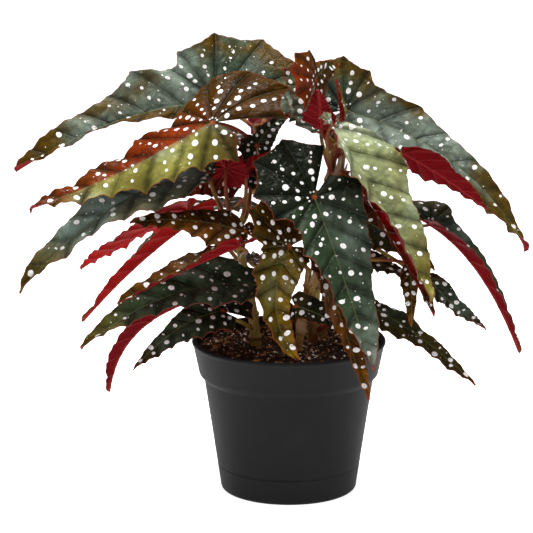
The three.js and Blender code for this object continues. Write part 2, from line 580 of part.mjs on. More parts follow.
// One face of a blade as a grid: columns of both sides, each from the midrib to the margin
function bladeGrid(leaf, seed) {
  const rib = midrib(leaf);
  const rings = leaf.plain ? [0, 1] : [0, MIDDLE_RING, 1];
  const sides = [
    { wing: WIDE_WING, reach: WIDE_REACH, sign: 1 },
    { wing: NARROW_WING, reach: NARROW_REACH, sign: -1 },
  ];
  const corners = [];
  const triangles = [];
  const spine = new Map();
  const spineCorner = (start) => {
    const key = Math.round(start * 1000);
    if (!spine.has(key)) {
      spine.set(key, corners.length);
      corners.push(onBlade(leaf, rib, start, 0, 0));
    }
    return spine.get(key);
  };
  const margins = sides.map(({ wing, reach, sign }, which) => {
    const spread = sign > 0 ? leaf.broad ?? 1 : leaf.slim ?? 1;
    const swing = sign > 0 ? leaf.swing ?? 0 : 0;
    const wingScale = (leaf.wing ?? 1) * (sign > 0 ? 1 : spread);
    const points = outline(wing, reach, leaf.girth ?? 1, wingScale, spread, swing);
    const columns = [];
    for (let half = 0; half <= 2 * (points.length - 1); half += 1) {
      const column = half / 2;
      const i = Math.min(Math.floor(column), points.length - 2);
      const before = points[Math.max(i - 1, 0)];
      const after = points[Math.min(i + 2, points.length - 1)];
      const t = column - i;
      const curved = (axis) => catmull(before[axis], points[i][axis], points[i + 1][axis], after[axis], t);
      const start = columnStart(wing, column);
      const between = t * (1 - t) * 4;
      const reachShare = 1 - MARGIN_DENT * between;
      const end = new THREE.Vector2(start + (curved('x') - start) * reachShare, curved('y') * reachShare);
      const tooth = (k) => 2 * chance(seed + 7 * which, k) - 1;
      const wave = leaf.ruffle * (THREE.MathUtils.lerp(tooth(i), tooth(i + 1), t) + SCALLOP * between);
      const last = half === 2 * (points.length - 1);
      const inner = spineCorner(start);
      const cells = [inner];
      for (const q of rings.slice(1)) {
        if (last) {
          cells.push(inner);
        } else {
          const a = THREE.MathUtils.lerp(start, end.x, q);
          const b = end.y * q * sign;
          cells.push(corners.length);
          corners.push(onBlade(leaf, rib, a, b, wave * q * q));
        }
      }
      columns.push(cells);
    }
    for (let j = 0; j < columns.length - 1; j += 1) {
      for (let r = 0; r < rings.length - 1; r += 1) {
        const quad = [columns[j][r], columns[j][r + 1], columns[j + 1][r + 1], columns[j + 1][r]];
        const faces = [[quad[0], quad[1], quad[2]], [quad[0], quad[2], quad[3]]];
        for (const face of faces) {
          if (new Set(face).size === 3) {
            triangles.push(sign * leaf.wide > 0 ? face.slice().reverse() : face);
          }
        }
      }
    }
    return columns;
  });
  const [wide, narrow] = margins;
  const loop = wide[0].slice(1).concat(wide.slice(1).map((cells) => cells.at(-1)));
  const back = narrow[0].slice(1).concat(narrow.slice(1).map((cells) => cells.at(-1)));
  const border = [spineCorner(0), ...loop, ...back.slice(0, -1).reverse()];
  return { corners, triangles, border, rib };
}

function catmull(p0, p1, p2, p3, t) {
  const t2 = t * t;
  const t3 = t2 * t;
  return 0.5 * (2 * p1 + (p2 - p0) * t + (2 * p0 - 5 * p1 + 4 * p2 - p3) * t2 + (3 * p1 - p0 - 3 * p2 + p3) * t3);
}

// Leaf: the blade's two faces and rim, joined to its stalk, whose foot is cut to sit round the cane
function leafGeometry(leaf, seed) {
  const { corners, triangles, border, rib } = bladeGrid(leaf, seed);
  const middle = geometryOf(corners, triangles);
  middle.computeVertexNormals();
  const normals = middle.attributes.normal;
  const solid = [];
  for (const side of [1, -1]) {
    corners.forEach((corner, i) => {
      const normal = new THREE.Vector3().fromBufferAttribute(normals, i);
      solid.push(corner.clone().addScaledVector(normal, (side * BLADE_THICKNESS) / 2));
    });
  }
  const shift = corners.length;
  const faces = triangles.map((face) => face.slice());
  triangles.forEach((face) => faces.push(face.map((corner) => corner + shift).reverse()));
  border.forEach((corner, i) => {
    const next = border[(i + 1) % border.length];
    const rim = [[corner, corner + shift, next + shift], [corner, next + shift, next]];
    rim.forEach((face) => faces.push(leaf.wide > 0 ? face.slice().reverse() : face));
  });
  const blade = solidOf(geometryOf(solid, faces));
  const whole = blade.add(solidOf(stalkGeometry(leaf, rib)));
  return geometryFrom(whole.subtract(caneTube(CANES[leaf.cane], GAP)));
}

// Stalk: from its cane up and out to the underside of the blade
function stalkGeometry(leaf, rib) {
  const cane = CANES[leaf.cane];
  const root = caneCurve(cane).getPointAt(leaf.joint);
  const end = onBlade(leaf, rib, 0, 0, -STALK_SINK);
  const below = onBlade(leaf, rib, 0, 0, -1);
  const down = below.sub(end).normalize();
  const backwards = rib.curve.getTangentAt(0).negate();
  const outward = end.clone().sub(root).setZ(0).normalize();
  const reach = end.distanceTo(root);
  const rise = THREE.MathUtils.degToRad(STALK_RISE);
  const leave = outward.clone().multiplyScalar(Math.cos(rise)).addScaledVector(UP, Math.sin(rise));
  const start = root.clone().addScaledVector(outward, caneRadius(cane, leaf.joint) * STALK_SEAT);
  const nearRoot = start.clone().addScaledVector(leave, reach * FOOT_PULL);
  const nearBlade = end.clone().addScaledVector(down, reach * HEAD_PULL);
  nearBlade.addScaledVector(backwards, reach * (leaf.lean ?? STALK_LEAN));
  const curve = new THREE.CubicBezierCurve3(start, nearRoot, nearBlade, end);
  const points = curve.getPoints(STALK_STEPS);
  const radii = points.map((point, i) => STALK_RADIUS * (STALK_FOOT_SWELL - (STALK_TAPER * i) / STALK_STEPS));
  return tube(points, radii, STALK_SIDES);
}

const group = new THREE.Group();
group.add(mesh('pot', potGeometry(), 0x35383b, 0.6));
group.add(mesh('soil', soilGeometry(CANES), 0x2a1c14, 0.95));
for (const [name, cane] of Object.entries(CANES)) {
  group.add(mesh(`cane_${name}`, caneGeometry(cane), 0x7a5a2c, 0.5));
}
Object.entries(LEAVES).forEach(([name, leaf], seed) => {
  group.add(mesh(`leaf_${name}`, leafGeometry(leaf, seed), leaf.colour, 0.4));
});

export default group;
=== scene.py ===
# %% [markdown]
# # A polka dot begonia in a nursery pot
#
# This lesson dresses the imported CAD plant. The CAD model has the true sizes, and every piece made here lies
# on it, in metres, with +Z up and the front towards -Y. The order is: camera and light, a small helper for
# shader maths, the finishes, the leaves, the canes, the soil and the pot.

import json
import math

import bpy
import numpy as np
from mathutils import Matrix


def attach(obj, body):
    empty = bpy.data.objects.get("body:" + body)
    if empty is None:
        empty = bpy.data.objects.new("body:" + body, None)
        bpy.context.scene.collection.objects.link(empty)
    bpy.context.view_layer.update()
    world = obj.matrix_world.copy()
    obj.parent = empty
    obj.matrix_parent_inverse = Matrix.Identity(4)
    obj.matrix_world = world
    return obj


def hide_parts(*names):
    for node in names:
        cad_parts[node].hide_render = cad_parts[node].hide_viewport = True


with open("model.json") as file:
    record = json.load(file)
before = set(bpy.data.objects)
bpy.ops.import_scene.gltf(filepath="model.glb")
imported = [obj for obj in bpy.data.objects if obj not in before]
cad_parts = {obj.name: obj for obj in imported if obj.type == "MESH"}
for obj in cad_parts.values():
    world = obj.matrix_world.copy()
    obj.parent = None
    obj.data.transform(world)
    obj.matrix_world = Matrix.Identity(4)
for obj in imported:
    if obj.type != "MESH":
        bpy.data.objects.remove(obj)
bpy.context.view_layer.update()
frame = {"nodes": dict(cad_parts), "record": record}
MM = 0.001
print("CAD nodes:", len(frame["nodes"]))

# %% [markdown]
# ## Camera, floor and light
#
# A photographer stands far back with a long lens, so the pot's sides stay almost parallel. The camera looks
# down by 13.5 degrees, which shows the soil through the rim as a narrow oval. The lens length follows from
# the distance and the size of the picture, and it was found by fitting the rim and the foot of the pot.

# %% Camera
CAMERA_DISTANCE = 2.8
CAMERA_DROP = math.radians(13.5)
LENS = 216.9
AIM = np.array([-0.01953, 0.0, 0.1996])
camera_data = bpy.data.cameras.new("camera")
camera_data.sensor_width = 36.0
camera_data.lens = LENS
camera = bpy.data.objects.new("camera", camera_data)
toward = np.array([0.0, math.cos(CAMERA_DROP), -math.sin(CAMERA_DROP)])
camera.location = AIM - toward * CAMERA_DISTANCE
camera.rotation_euler = (math.pi / 2 - CAMERA_DROP, 0.0, 0.0)
bpy.context.scene.collection.objects.link(camera)
bpy.context.scene.camera = camera
print("camera at", [round(v, 3) for v in camera.location])

# %% [markdown]
# A softbox is an area light. A wide one above and behind the plant gives leaves a little sheen, as a
# window would, and weaker ones at the front and the sides keep the shaded leaves readable; most of the
# leaves' pale sheen is painted into their colour. The world is white but dim, so the shadows stay soft and
# the dark leaves deep. The floor glows a little, as a lit white sweep does.

# %% Lights
LIGHT_AIM = np.array([0.0, 0.0, 0.25])
WORLD_STRENGTH = 0.14


def softbox(name, place, size, watts):
    """An area light at a place in metres, turned towards the middle of the plant."""
    data = bpy.data.lights.new(name, "AREA")
    data.shape = "RECTANGLE"
    data.size, data.size_y = size
    data.energy = watts
    light = bpy.data.objects.new(name, data)
    light.location = place
    aim = LIGHT_AIM - np.array(place)
    flat = math.hypot(aim[0], aim[1])
    light.rotation_euler = (math.pi / 2 + math.atan2(aim[2], flat), 0.0, math.atan2(-aim[0], aim[1]))
    bpy.context.scene.collection.objects.link(light)


softbox("top_box", (-0.2, 0.2, 1.8), (1.1, 0.8), 50.0)
softbox("left_box", (-1.6, -0.9, 1.1), (0.8, 1.2), 13.0)
softbox("right_box", (1.7, -0.5, 1.0), (0.7, 1.2), 10.0)
softbox("front_box", (0.2, -2.4, 1.5), (1.4, 0.9), 8.0)
world = bpy.data.worlds.new("studio")
world.use_nodes = True
background = world.node_tree.nodes["Background"]
background.inputs["Color"].default_value = (1.0, 1.0, 1.0, 1.0)
background.inputs["Strength"].default_value = WORLD_STRENGTH
bpy.context.scene.world = world
bpy.context.scene.view_settings.view_transform = "Standard"

# %% [markdown]
# ## Shader maths as sums
#
# A finish is a small calculation for each point of a surface. Written as nodes it is long, so one class
# wraps a socket and lets Python's own signs add the Math nodes, and one method adds any other node.

# %% Shader helper
class Flow:
    """A value on its way between two nodes. The signs + - * on it add Math nodes."""

    def __init__(self, finish, socket):
        self.finish = finish
        self.socket = socket

    def sum_with(self, operation, first, second):
        """One Math node."""
        return self.finish.node("ShaderNodeMath", {"operation": operation}, {0: first, 1: second})

    def __add__(self, other):
        return self.sum_with("ADD", self, other)

    def __sub__(self, other):
        return self.sum_with("SUBTRACT", self, other)

    def __mul__(self, other):
        return self.sum_with("MULTIPLY", self, other)

    __radd__ = __add__
    __rmul__ = __mul__


class Finish:
    """A material whose nodes are added by short calls. Its place is where a point is, in metres."""

    def __init__(self, name):
        self.material = bpy.data.materials.new(name)
        self.material.use_nodes = True
        self.nodes = self.material.node_tree.nodes
        self.links = self.material.node_tree.links
        self.shader = self.nodes["Principled BSDF"]
        self.place = self.node("ShaderNodeTexCoord", out=3)

    def plug(self, socket, value):
        """Link a flow to a socket, or set the socket to a plain value."""
        if isinstance(value, Flow):
            self.links.new(value.socket, socket)
        else:
            socket.default_value = value

    def node(self, kind, settings=None, sockets=None, out=0):
        """Any node: its settings first, then the values of its sockets."""
        added = self.nodes.new(kind)
        for key, value in (settings or {}).items():
            setattr(added, key, value)
        for key, value in (sockets or {}).items():
            self.plug(added.inputs[key], value)
        return Flow(self, added.outputs[out])

    def step(self, value, low, high):
        """0 below low, 1 above high, and a smooth rise between them; low above high turns it round."""
        settings = {"interpolation_type": "SMOOTHSTEP"}
        if low > high:
            sockets = {0: value, 1: high, 2: low, 3: 1.0, 4: 0.0}
        else:
            sockets = {0: value, 1: low, 2: high, 3: 0.0, 4: 1.0}
        return self.node("ShaderNodeMapRange", settings, sockets)

    def mix(self, share, first, second):
        """The colour first where share is 0 and second where it is 1."""
        plain = {0: share}
        for key, colour in ((6, first), (7, second)):
            plain[key] = colour if isinstance(colour, Flow) else (*colour, 1.0)
        return self.node("ShaderNodeMix", {"data_type": "RGBA"}, plain, out=2)

    def lay(self, under, over, field, low, high, share=1.0):
        """A colour laid over another where a field goes from low to high, up to a share of 1."""
        return self.mix(self.step(field, low, high) * share, under, over)

    def tint(self, colour, amount):
        """A colour made lighter or darker by a factor."""
        return self.node("ShaderNodeVectorMath", {"operation": "SCALE"}, {0: colour, 3: amount})

    def attribute(self, name, out=2):
        """A number that the mesh carries, or with out 0 a colour."""
        return self.node("ShaderNodeAttribute", {"attribute_name": name}, out=out)

    def uv(self, name):
        """The place in one of the mesh's UV maps."""
        return self.node("ShaderNodeUVMap", {"uv_map": name})

    def noise(self, scale, detail=3.0, squeeze=1.0):
        """A soft noise around 0.5, with so many waves to a metre; a squeezed height draws it out upwards."""
        place = self.place
        if squeeze != 1.0:
            place = self.node("ShaderNodeMapping", None, {"Vector": place, "Scale": (1.0, 1.0, squeeze)})
        return self.node("ShaderNodeTexNoise", None, {"Vector": place, "Scale": scale, "Detail": detail})

    def cells(self, place, scale, feature="DISTANCE_TO_EDGE", out=0):
        """Cells of chance size: how far their walls are, or with F1 their middles; out 1 is a colour each."""
        return self.node("ShaderNodeTexVoronoi", {"feature": feature}, {"Vector": place, "Scale": scale}, out)

    def done(self, colour, rough, gloss=0.5, height=None, depth=0.001):
        """Set the shader's colour, roughness and specular level, and where there is a height map tilt the
        normal by it; its full range stands for a depth in metres."""
        for key, value in (("Base Color", colour), ("Roughness", rough), ("Specular IOR Level", gloss)):
            self.plug(self.shader.inputs[key], value)
        if height is not None:
            sockets = {"Strength": 1.0, "Distance": depth, "Height": height}
            self.plug(self.shader.inputs["Normal"], self.node("ShaderNodeBump", None, sockets))
        return self.material


# %% [markdown]
# ## The finishes of a leaf
#
# The upper side of a polka dot begonia's leaf is dark green, its fine veins are pressed in, its edge is a
# thin orange-red line and white dots stand in rows between the veins. Its silvery sheen is a painted
# highlight, pale patches mixed into the colour, and the shade of its pillowed, quilted relief is painted
# too: lighter on the swells, darker towards the veins. The mesh carries what the shader needs: "tone", the
# colour of that part of the leaf; "age", how bronzed it is; "vein", "rib", "edge" and "heart", the
# millimetres to the nearest side vein, the midrib, the margin and the stalk; and the UV map "spot", whose
# length is 1 on the edge of the nearest dot. A picture would do the same with less thought, but dots made
# this way stay round and sharp at any distance.

# %% Upper side of a leaf
DOT_WHITE = (0.82, 0.80, 0.78)
DOT_GREY = (0.48, 0.43, 0.42)
# The silver of a painted highlight: the sheen that light gives a glossy leaf, put into its colour.
PAINTED_SHEEN_SILVER = (0.150, 0.180, 0.155)
AGED_OLIVE = (0.050, 0.030, 0.002)
MARGIN_RED = (0.16, 0.028, 0.008)
VEIN_GREEN = (0.13, 0.14, 0.05)
HEART_RED = (0.30, 0.05, 0.01)
TONE_CONTRAST = 1.3
TONE_LEVEL = 2.4
SPECK_SCALE = 21.0


def leaf_upper_finish():
    """Tone, changed by a slow noise, given a painted sheen of silver patches and painted shade that darkens
    it towards the veins, then veins, midrib, margin, specks and dots laid over it.
    """
    leaf = Finish("leaf_upper")
    tone = leaf.attribute("tone", 0)
    vein, rib, edge, heart, age = (leaf.attribute(name) for name in ("vein", "rib", "edge", "heart", "age"))
    flat, spot = leaf.uv("flat"), leaf.uv("spot")
    clouds = leaf.noise(17.0)
    patches = leaf.noise(38.0, 4.0)
    mottle = leaf.noise(130.0)
    grain = leaf.noise(900.0, 2.0)
    net = leaf.step(leaf.cells(flat, 42.0), 0.0, 0.35)
    quilt_bump_and_shade = leaf.step(leaf.cells(flat, 12.0), 0.0, 0.45)
    between = leaf.step(vein, 0.2, 6.0)
    green = leaf.node("ShaderNodeSeparateColor", None, {0: tone}, out=1)
    # Painted sheen: where the slow noise is high on a green tone, up to half the colour turns silver, as a
    # highlight would make it.
    painted_sheen = leaf.step(clouds, 0.50, 0.74) * leaf.step(green, 0.015, 0.045)
    colour = leaf.mix(painted_sheen * 0.50, tone, PAINTED_SHEEN_SILVER)
    colour = leaf.mix(leaf.step(clouds, 0.58, 0.42) * leaf.step(edge, 30.0, 6.0) * age, colour, AGED_OLIVE)
    # The tint is lighter away from the veins and inside the quilt cells: painted shade of the pillowed
    # relief, dark in the valleys along the veins and light on the swells; the noises add random tone.
    colour = leaf.tint(colour, 1.50 * patches + 0.50 * between + 0.90 * mottle + 0.25 * quilt_bump_and_shade - 0.55)
    colour = leaf.node("ShaderNodeGamma", None, {"Color": colour, "Gamma": TONE_CONTRAST})
    colour = leaf.tint(colour, TONE_LEVEL)
    colour = leaf.lay(colour, VEIN_GREEN, vein, 0.42, 0.05, 0.22)
    colour = leaf.lay(colour, VEIN_GREEN, rib, 0.9, 0.3, 0.45)
    colour = leaf.lay(colour, HEART_RED, heart, 3.4, 1.0, 0.8)
    colour = leaf.lay(colour, MARGIN_RED, edge, 1.0, 0.3, 0.75)
    speck_field = leaf.cells(flat, SPECK_SCALE, "F1")
    speck_seed = leaf.cells(flat, SPECK_SCALE, "F1", 1)
    speck_size = leaf.node("ShaderNodeSeparateColor", None, {0: speck_seed})
    speck = leaf.step(speck_field - speck_size * 0.13, 0.03, 0.0)
    speck = speck * leaf.step(vein, 0.6, 1.4) * leaf.step(edge, 1.2, 2.4)
    reach = leaf.node("ShaderNodeVectorMath", {"operation": "LENGTH"}, {0: spot}, out=1)
    dot = leaf.step(reach + (grain - 0.5) * 0.12, 1.0, 0.86)
    core = leaf.step(reach, 0.74, 0.60) * leaf.step(grain, 0.40, 0.62)
    colour = leaf.mix(speck * 0.75, colour, DOT_WHITE)
    colour = leaf.mix(dot, colour, DOT_WHITE)
    colour = leaf.mix(core * 0.35, colour, DOT_GREY)
    height = leaf.step(vein, 0.0, 1.6) * 0.5 + net * 0.12 + quilt_bump_and_shade * 0.6 + grain * 0.04 + dot * 0.08
    return leaf.done(colour, 0.25 + 0.18 * patches + dot * 0.15, 0.06, height, 0.0013)


# %% [markdown]
# The underside is crimson and less glossy, and the veins stand proud of it, paler than the skin between
# them.

# %% Underside and stalk
VEIN_PINK = (0.27, 0.025, 0.022)


def leaf_under_finish():
    """Tone darkened and lightened by noise, with raised pale veins and a fine net of small ones."""
    leaf = Finish("leaf_under")
    tone = leaf.attribute("tone", 0)
    vein, rib = leaf.attribute("vein"), leaf.attribute("rib")
    flat = leaf.uv("flat")
    patches = leaf.noise(45.0, 4.0)
    grain = leaf.noise(800.0, 2.0)
    net = leaf.step(leaf.cells(flat, 30.0), 0.10, 0.0)
    colour = leaf.tint(tone, 0.66 + 0.7 * patches)
    colour = leaf.mix(net * 0.14, colour, VEIN_PINK)
    colour = leaf.lay(colour, VEIN_PINK, vein, 0.8, 0.2, 0.40)
    colour = leaf.lay(colour, VEIN_PINK, rib, 1.5, 0.5, 0.55)
    height = leaf.step(vein, 1.2, 0.0) * 0.6 + net * 0.15 + grain * 0.06
    return leaf.done(colour, 0.46 + 0.14 * patches, 0.06, height, 0.0008)


def stalk_finish():
    """A red stalk that turns olive in patches, with small pale lengthwise flecks."""
    stalk = Finish("leaf_stalk")
    patches = stalk.noise(26.0)
    fine = stalk.noise(700.0, 2.0)
    colour = stalk.lay((0.14, 0.014, 0.008), (0.20, 0.13, 0.02), patches, 0.40, 0.62)
    colour = stalk.lay(colour, (0.40, 0.22, 0.10), fine, 0.60, 0.72, 0.35)
    return stalk.done(colour, 0.40 + 0.15 * fine, 0.12, fine, 0.0003)


LEAF_FINISHES = [leaf_upper_finish(), leaf_under_finish(), stalk_finish()]
print("leaf finishes:", [finish.name for finish in LEAF_FINISHES])

# %% [markdown]
# ## The leaves: where they are
#
# Each leaf is given by a few values, the same as in the CAD source, in millimetres and degrees: where its
# stalk ends and its tip, how the midrib arches between them, the blade's roll at both ends, on which side
# of the midrib the wide half lies, how far the halves are folded up and how much the edge is ruffled, and
# then the cane and the share of it from which the stalk grows. More values change the outline: girth widens
# the whole blade, broad the wide half and slim the narrow one, wing is the size of the lobes behind the
# stalk and swing turns them, hang and lean bend the lobes and the stalk, and bow and push bend the midrib
# sideways and outwards. Look and age stand for its colours, which the next cell explains.

# %% Leaf places
def leaf(at, tip, arch, roll, wide, fold, ruffle, cane, joint, **more):
    """One row of the table. The usual leaf has none of the values in more."""
    return dict(at=at, tip=tip, arch=arch, roll=roll, wide=wide, fold=fold, ruffle=ruffle, cane=cane,
                joint=joint, **more)


LEAVES = {
    "left_top": leaf((-66, 60, 334), (-237, 5, 283), 13, (54, 15), -1, 22, 4, "back", 0.97, hang=-0.6,
        broad=1.24, slim=0.38, wing=1.32, swing=-4, lean=0.1, look="silver slate olive slate crimson",
        age=0.95),
    # The rust of this leaf's wide half is painted light: the orange glow of light coming through the blade.
    "left_orange": leaf((-66, -36, 334), (-221, -60, 264), -6, (38, 34), -1, -20, 5, "back", 0.9, hang=1.1,
        broad=1.4, slim=0.8, wing=1.25, look="rust lime rust rusty crimson", age=0.35),
    "left_grey": leaf((-70, -15, 286), (-230, -75, 195), 22, (25, 30), -1, 8, 4, "left", 0.97, girth=0.8,
        broad=1.3, slim=0.85, wing=0.45, lean=0.08, look="frost silver olive shade crimson"),
    "left_brown": leaf((-38, -47, 241.5), (-136, -52, 250), 6, (30, 28), -1, 0, 2.5, "left", 0.86, girth=1.3,
        slim=0.9, wing=0.35, look="umber bronze umber umber crimson"),
    "left_scarlet": leaf((-88, -10, 252), (-180, -28, 204), 3, (-38, -35), -1, 0, 2.5, "left", 0.78, slim=1.3,
        wing=0.85, look="umber umber umber umber scarlet"),
    "left_folded": leaf((-84, 18, 236), (-181, 10, 147), 6, (0, -10), -1, 48, 2, "left", 0.7, girth=0.8,
        slim=0.7, wing=0.8, look="silver slate umber slate scarlet"),
    "left_bronze": leaf((-43, -66, 233), (-146, -80, 186), 2, (-22, 25), -1, 22, 3, "left", 0.75, girth=1.3,
        wing=0.5, look="bronze umber bronze umber crimson"),
    "left_low": leaf((-25, -39, 192), (-177, -88, 149), 19, (30, 25), -1, 4, 3, "left", 0.5, broad=1.25,
        slim=0.7, wing=0.6, look="fern slate olive shade crimson", age=0.1),
    "left_low_red": leaf((-88, -10, 170), (-156, -28, 94), 10, (-10, -10), -1, 55, 2, "left", 0.3, push=14,
        girth=0.85, wing=0.6, look="crimson crimson wine crimson crimson"),
    "left_low_dark": leaf((-57, -42, 170), (-133, -80, 128), 10, (35, 25), -1, 4, 2, "left", 0.22,
        look="shade shade umber dark crimson"),
    "mid_olive": leaf((0, -58, 231), (7, -78, 136), 0, (15, 5), -1, 8, 3, "front", 1, bow=-18, push=5,
        girth=1.5, slim=0.6, wing=1.1, look="olive ochre gold peat crimson"),
    "mid_green": leaf((21, -58, 274), (70, -122, 139), 4, (-20, -15), -1, 8, 4, "right", 0.75, girth=1.08,
        wing=1.12, swing=6, look="fern slate silver dark crimson", age=0.0),
    "mid_hanging": leaf((30, -56, 209), (67, -98, 106), 0, (-15, -15), -1, 10, 2, "front", 0.7, girth=0.65,
        wing=0.6, look="bronze umber amber umber wine"),
    "mid_low": leaf((5, -49.5, 176.5), (60, -66, 150), 4, (-50, -45), -1, 0, 2, "front", 0.5,
        look="dark dark dark dark crimson"),
    "mid_dark": leaf((-33, -16, 284), (-4, -21, 249), 7, (35, 15), 1, 10, 2, "left", 0.97, girth=1.4,
        wing=1.1, lean=0.02, look="dark dark dark dark wine"),
    "mid_red": leaf((-54, -27.8, 292), (-75, -27, 304), 6, (85, 80), 1, 10, 2, "left", 0.97, girth=1.2,
        wing=2.1, lean=0.02, look="dark dark dark dark crimson"),
    "mid_tongue": leaf((-37, -28, 292), (-6, -26, 305), 3, (-90, -90), 1, 10, 2, "left", 0.99, girth=0.9,
        wing=0.8, lean=0.02, look="dark dark dark dark crimson"),
    "mid_back": leaf((-28, -1, 307), (0, 25, 328), 6, (65, 50), 1, 10, 2, "back", 0.8, girth=1.2, wing=1.05,
        lean=0.02, look="shade shade dark dark wine"),
    "top_young": leaf((22, -12, 367), (42, 42, 370), 4, (80, 60), 1, 10, 1.8, "right", 1, hang=0.2, wing=1.95,
        lean=0.08, look="olive umber rust rust scarlet"),
    "top_funnel": leaf((28, -21, 326), (24, -33, 362), 2, (0, 0), 1, 10, 2, "right", 0.98, girth=2.1,
        wing=0.45, lean=0.02, look="umber umber rust umber crimson"),
    "top_roll": leaf((45, -18, 333), (40, -16, 369), 0, (10, 10), 1, 50, 0.6, "right", 0.93, girth=0.85,
        wing=0.6, lean=0, look="moss moss olive moss crimson"),
    "top_blue": leaf((28, 2, 322), (-6, 20, 371), 4, (40, 30), -1, 10, 2, "right", 0.88, girth=1.5, wing=0.5,
        lean=0, look="frost silver slate silver crimson"),
    "right_top": leaf((49, 33, 332), (206, -14, 217), 15, (60, 10), 1, 14, 4, "side", 1, push=17, hang=0.1,
        broad=0.85, wing=0.85, swing=6, look="silver silver olive slate crimson", age=0.9),
    "right_pale": leaf((37, -36, 331), (120, -100, 193), 6, (0, 0), -1, 28, 3.5, "right", 0.84, girth=1.15,
        wing=0.25, lean=0.1, look="sage sage moss pale crimson"),
    "right_red": leaf((97, -27, 306), (170, -40, 258), 3, (-55, -45), 1, 0, 2, "right", 0.935, broad=1.2,
        slim=1.3, wing=0.3, look="umber umber umber umber crimson"),
    "right_folded": leaf((122, -5, 238), (200, -25, 128), 14, (5, -15), 1, 48, 2, "side", 0.66, push=4,
        girth=0.9, broad=0.8, slim=0.55, swing=10, look="slate silver umber slate crimson"),
    "right_mid": leaf((121, -14, 192), (171, -32, 151), -2, (-30, -25), -1, 4, 2, "side", 0.5, push=-3,
        wing=0.6, look="slate slate umber umber crimson"),
    "right_low": leaf((70, -18, 168), (160, -62, 109), 6, (20, 20), 1, 4, 2, "right", 0.12, girth=0.7,
        wing=0.6, look="shade shade umber dark crimson"),
    "right_bronze": leaf((104, -34, 208), (105, -50, 158), 0, (0, 0), 1, 12, 2, "right", 0.4, push=6,
        girth=0.85, wing=0.6, look="bronze umber amber umber wine"),
    "right_behind": leaf((62, -14, 270), (124, -62, 170), 4, (-10, -10), -1, 40, 2, "right", 0.64, girth=0.9,
        wing=0.6, look="wine crimson umber wine wine"),
    "right_dark": leaf((62, 0, 242), (126, -24, 202), 4, (45, 35), 1, 15, 2, "right", 0.54, girth=1.35,
        look="umber shade umber wine crimson"),
    "right_dark_low": leaf((62, 12, 205), (118, -4, 181), 4, (25, 20), 1, 5, 2, "side", 0.35,
        look="dark shade umber wine wine"),
    "back_left_high": leaf((-44, 84, 294), (-128, 134, 246), 14, (0, 0), 1, 8, 3, "back", 0.84, wing=0.6,
        lean=0.05),
    "back_high": leaf((-20, 84, 326), (-24, 170, 268), 14, (0, 0), -1, 8, 3, "back", 0.94, wing=0.4),
    "back_right_high": leaf((66, 66, 316), (138, 118, 266), 14, (0, 0), -1, 8, 3, "side", 0.95, wing=0.8),
    "back_right_mid": leaf((72, 62, 258), (118, 130, 176), 14, (0, 0), 1, 8, 3, "side", 0.75, wing=0.6),
    "back_left_mid": leaf((-62, 78, 236), (-138, 126, 172), 14, (0, 0), -1, 8, 3, "back", 0.68),
    "back_mid": leaf((6, 70, 250), (20, 158, 172), 14, (0, 0), 1, 8, 3, "back", 0.58),
    "back_left_low": leaf((-35, 60, 190), (-90, 118, 140), 12, (0, 0), -1, 8, 3, "back", 0.35),
    "left_crimson": leaf((-48, 36, 271), (-112, 36, 250), 8, (90, 90), -1, 8, 2, "back", 0.74, girth=1.2,
        lean=0.05, look="crimson crimson crimson crimson crimson"),
}
CANES = {
    "left": dict(path=[(-28, -8, 118), (-32, -12, 165), (-40, -16, 205), (-45, -18, 243)],
                 radius=(4.8, 3.4), stipule=13),
    "right": dict(path=[(20, 0, 118), (24, -6, 190), (31, -12, 255), (40, -14, 312)],
                  radius=(4.8, 3.4), stipule=24),
    "front": dict(path=[(6, -26, 118), (10, -30, 148), (14, -34, 176), (17, -36, 206)],
                  radius=(3.8, 2.8), stipule=24),
    "back": dict(path=[(-10, 22, 118), (-14, 24, 200), (-22, 22, 275), (-28, 18, 322)],
                 radius=(4.8, 3.2), stipule=13),
    "side": dict(path=[(28, 26, 118), (36, 30, 190), (42, 32, 250), (48, 30, 305)],
                 radius=(4.6, 3.2), stipule=13),
}
print(len(LEAVES), "leaves on", len(CANES), "canes")

# %% [markdown]
# The colours of the leaves differ: old ones are slate green, young ones bronze, and where light falls
# through a blade it glows orange or olive. On left_orange that orange glow is painted light: the rust tone
# of its wide half. Each leaf names four tones for its upper side, for the wide half, the narrow half, the
# tip and the lobe, and one for its underside. Age says how far olive patches have spread from the edge.

# %% Leaf tones
TONES = {
    "slate": (0.034, 0.045, 0.031), "silver": (0.084, 0.098, 0.080), "frost": (0.100, 0.132, 0.118),
    "dark": (0.010, 0.012, 0.007), "shade": (0.022, 0.028, 0.015), "olive": (0.060, 0.046, 0.005),
    "peat": (0.036, 0.018, 0.001), "moss": (0.140, 0.130, 0.030), "sage": (0.138, 0.150, 0.082),
    "pale": (0.270, 0.265, 0.160), "amber": (0.190, 0.085, 0.006), "bronze": (0.075, 0.028, 0.002),
    # rust is a young leaf's own orange; on left_orange it is also painted light, the glow of light through
    # the blade.
    "rust": (0.090, 0.017, 0.001), "rusty": (0.036, 0.017, 0.001), "lime": (0.122, 0.118, 0.036),
    "gold": (0.180, 0.120, 0.010), "ochre": (0.100, 0.064, 0.003), "fern": (0.024, 0.037, 0.020),
    "umber": (0.042, 0.016, 0.002), "crimson": (0.120, 0.001, 0.003), "scarlet": (0.290, 0.006, 0.005),
    "wine": (0.055, 0.001, 0.002),
}
USUAL_AGE = 0.5
USUAL_LOOK = "slate slate olive olive crimson"

# %% [markdown]
# ## The leaves: one shape, bent and folded
#
# A begonia's blade is an angel wing: one lobe at the base is far bigger than the other, and side ribs run
# from the midrib to the points of the margin. The flat blade is a grid whose columns follow those ribs. The
# grid is then carried along the midrib, rolled, folded, cupped and ruffled. Sculpting would give one such
# leaf; a formula gives all of them, and puts the veins, the dots and the ruffles where they belong on each.

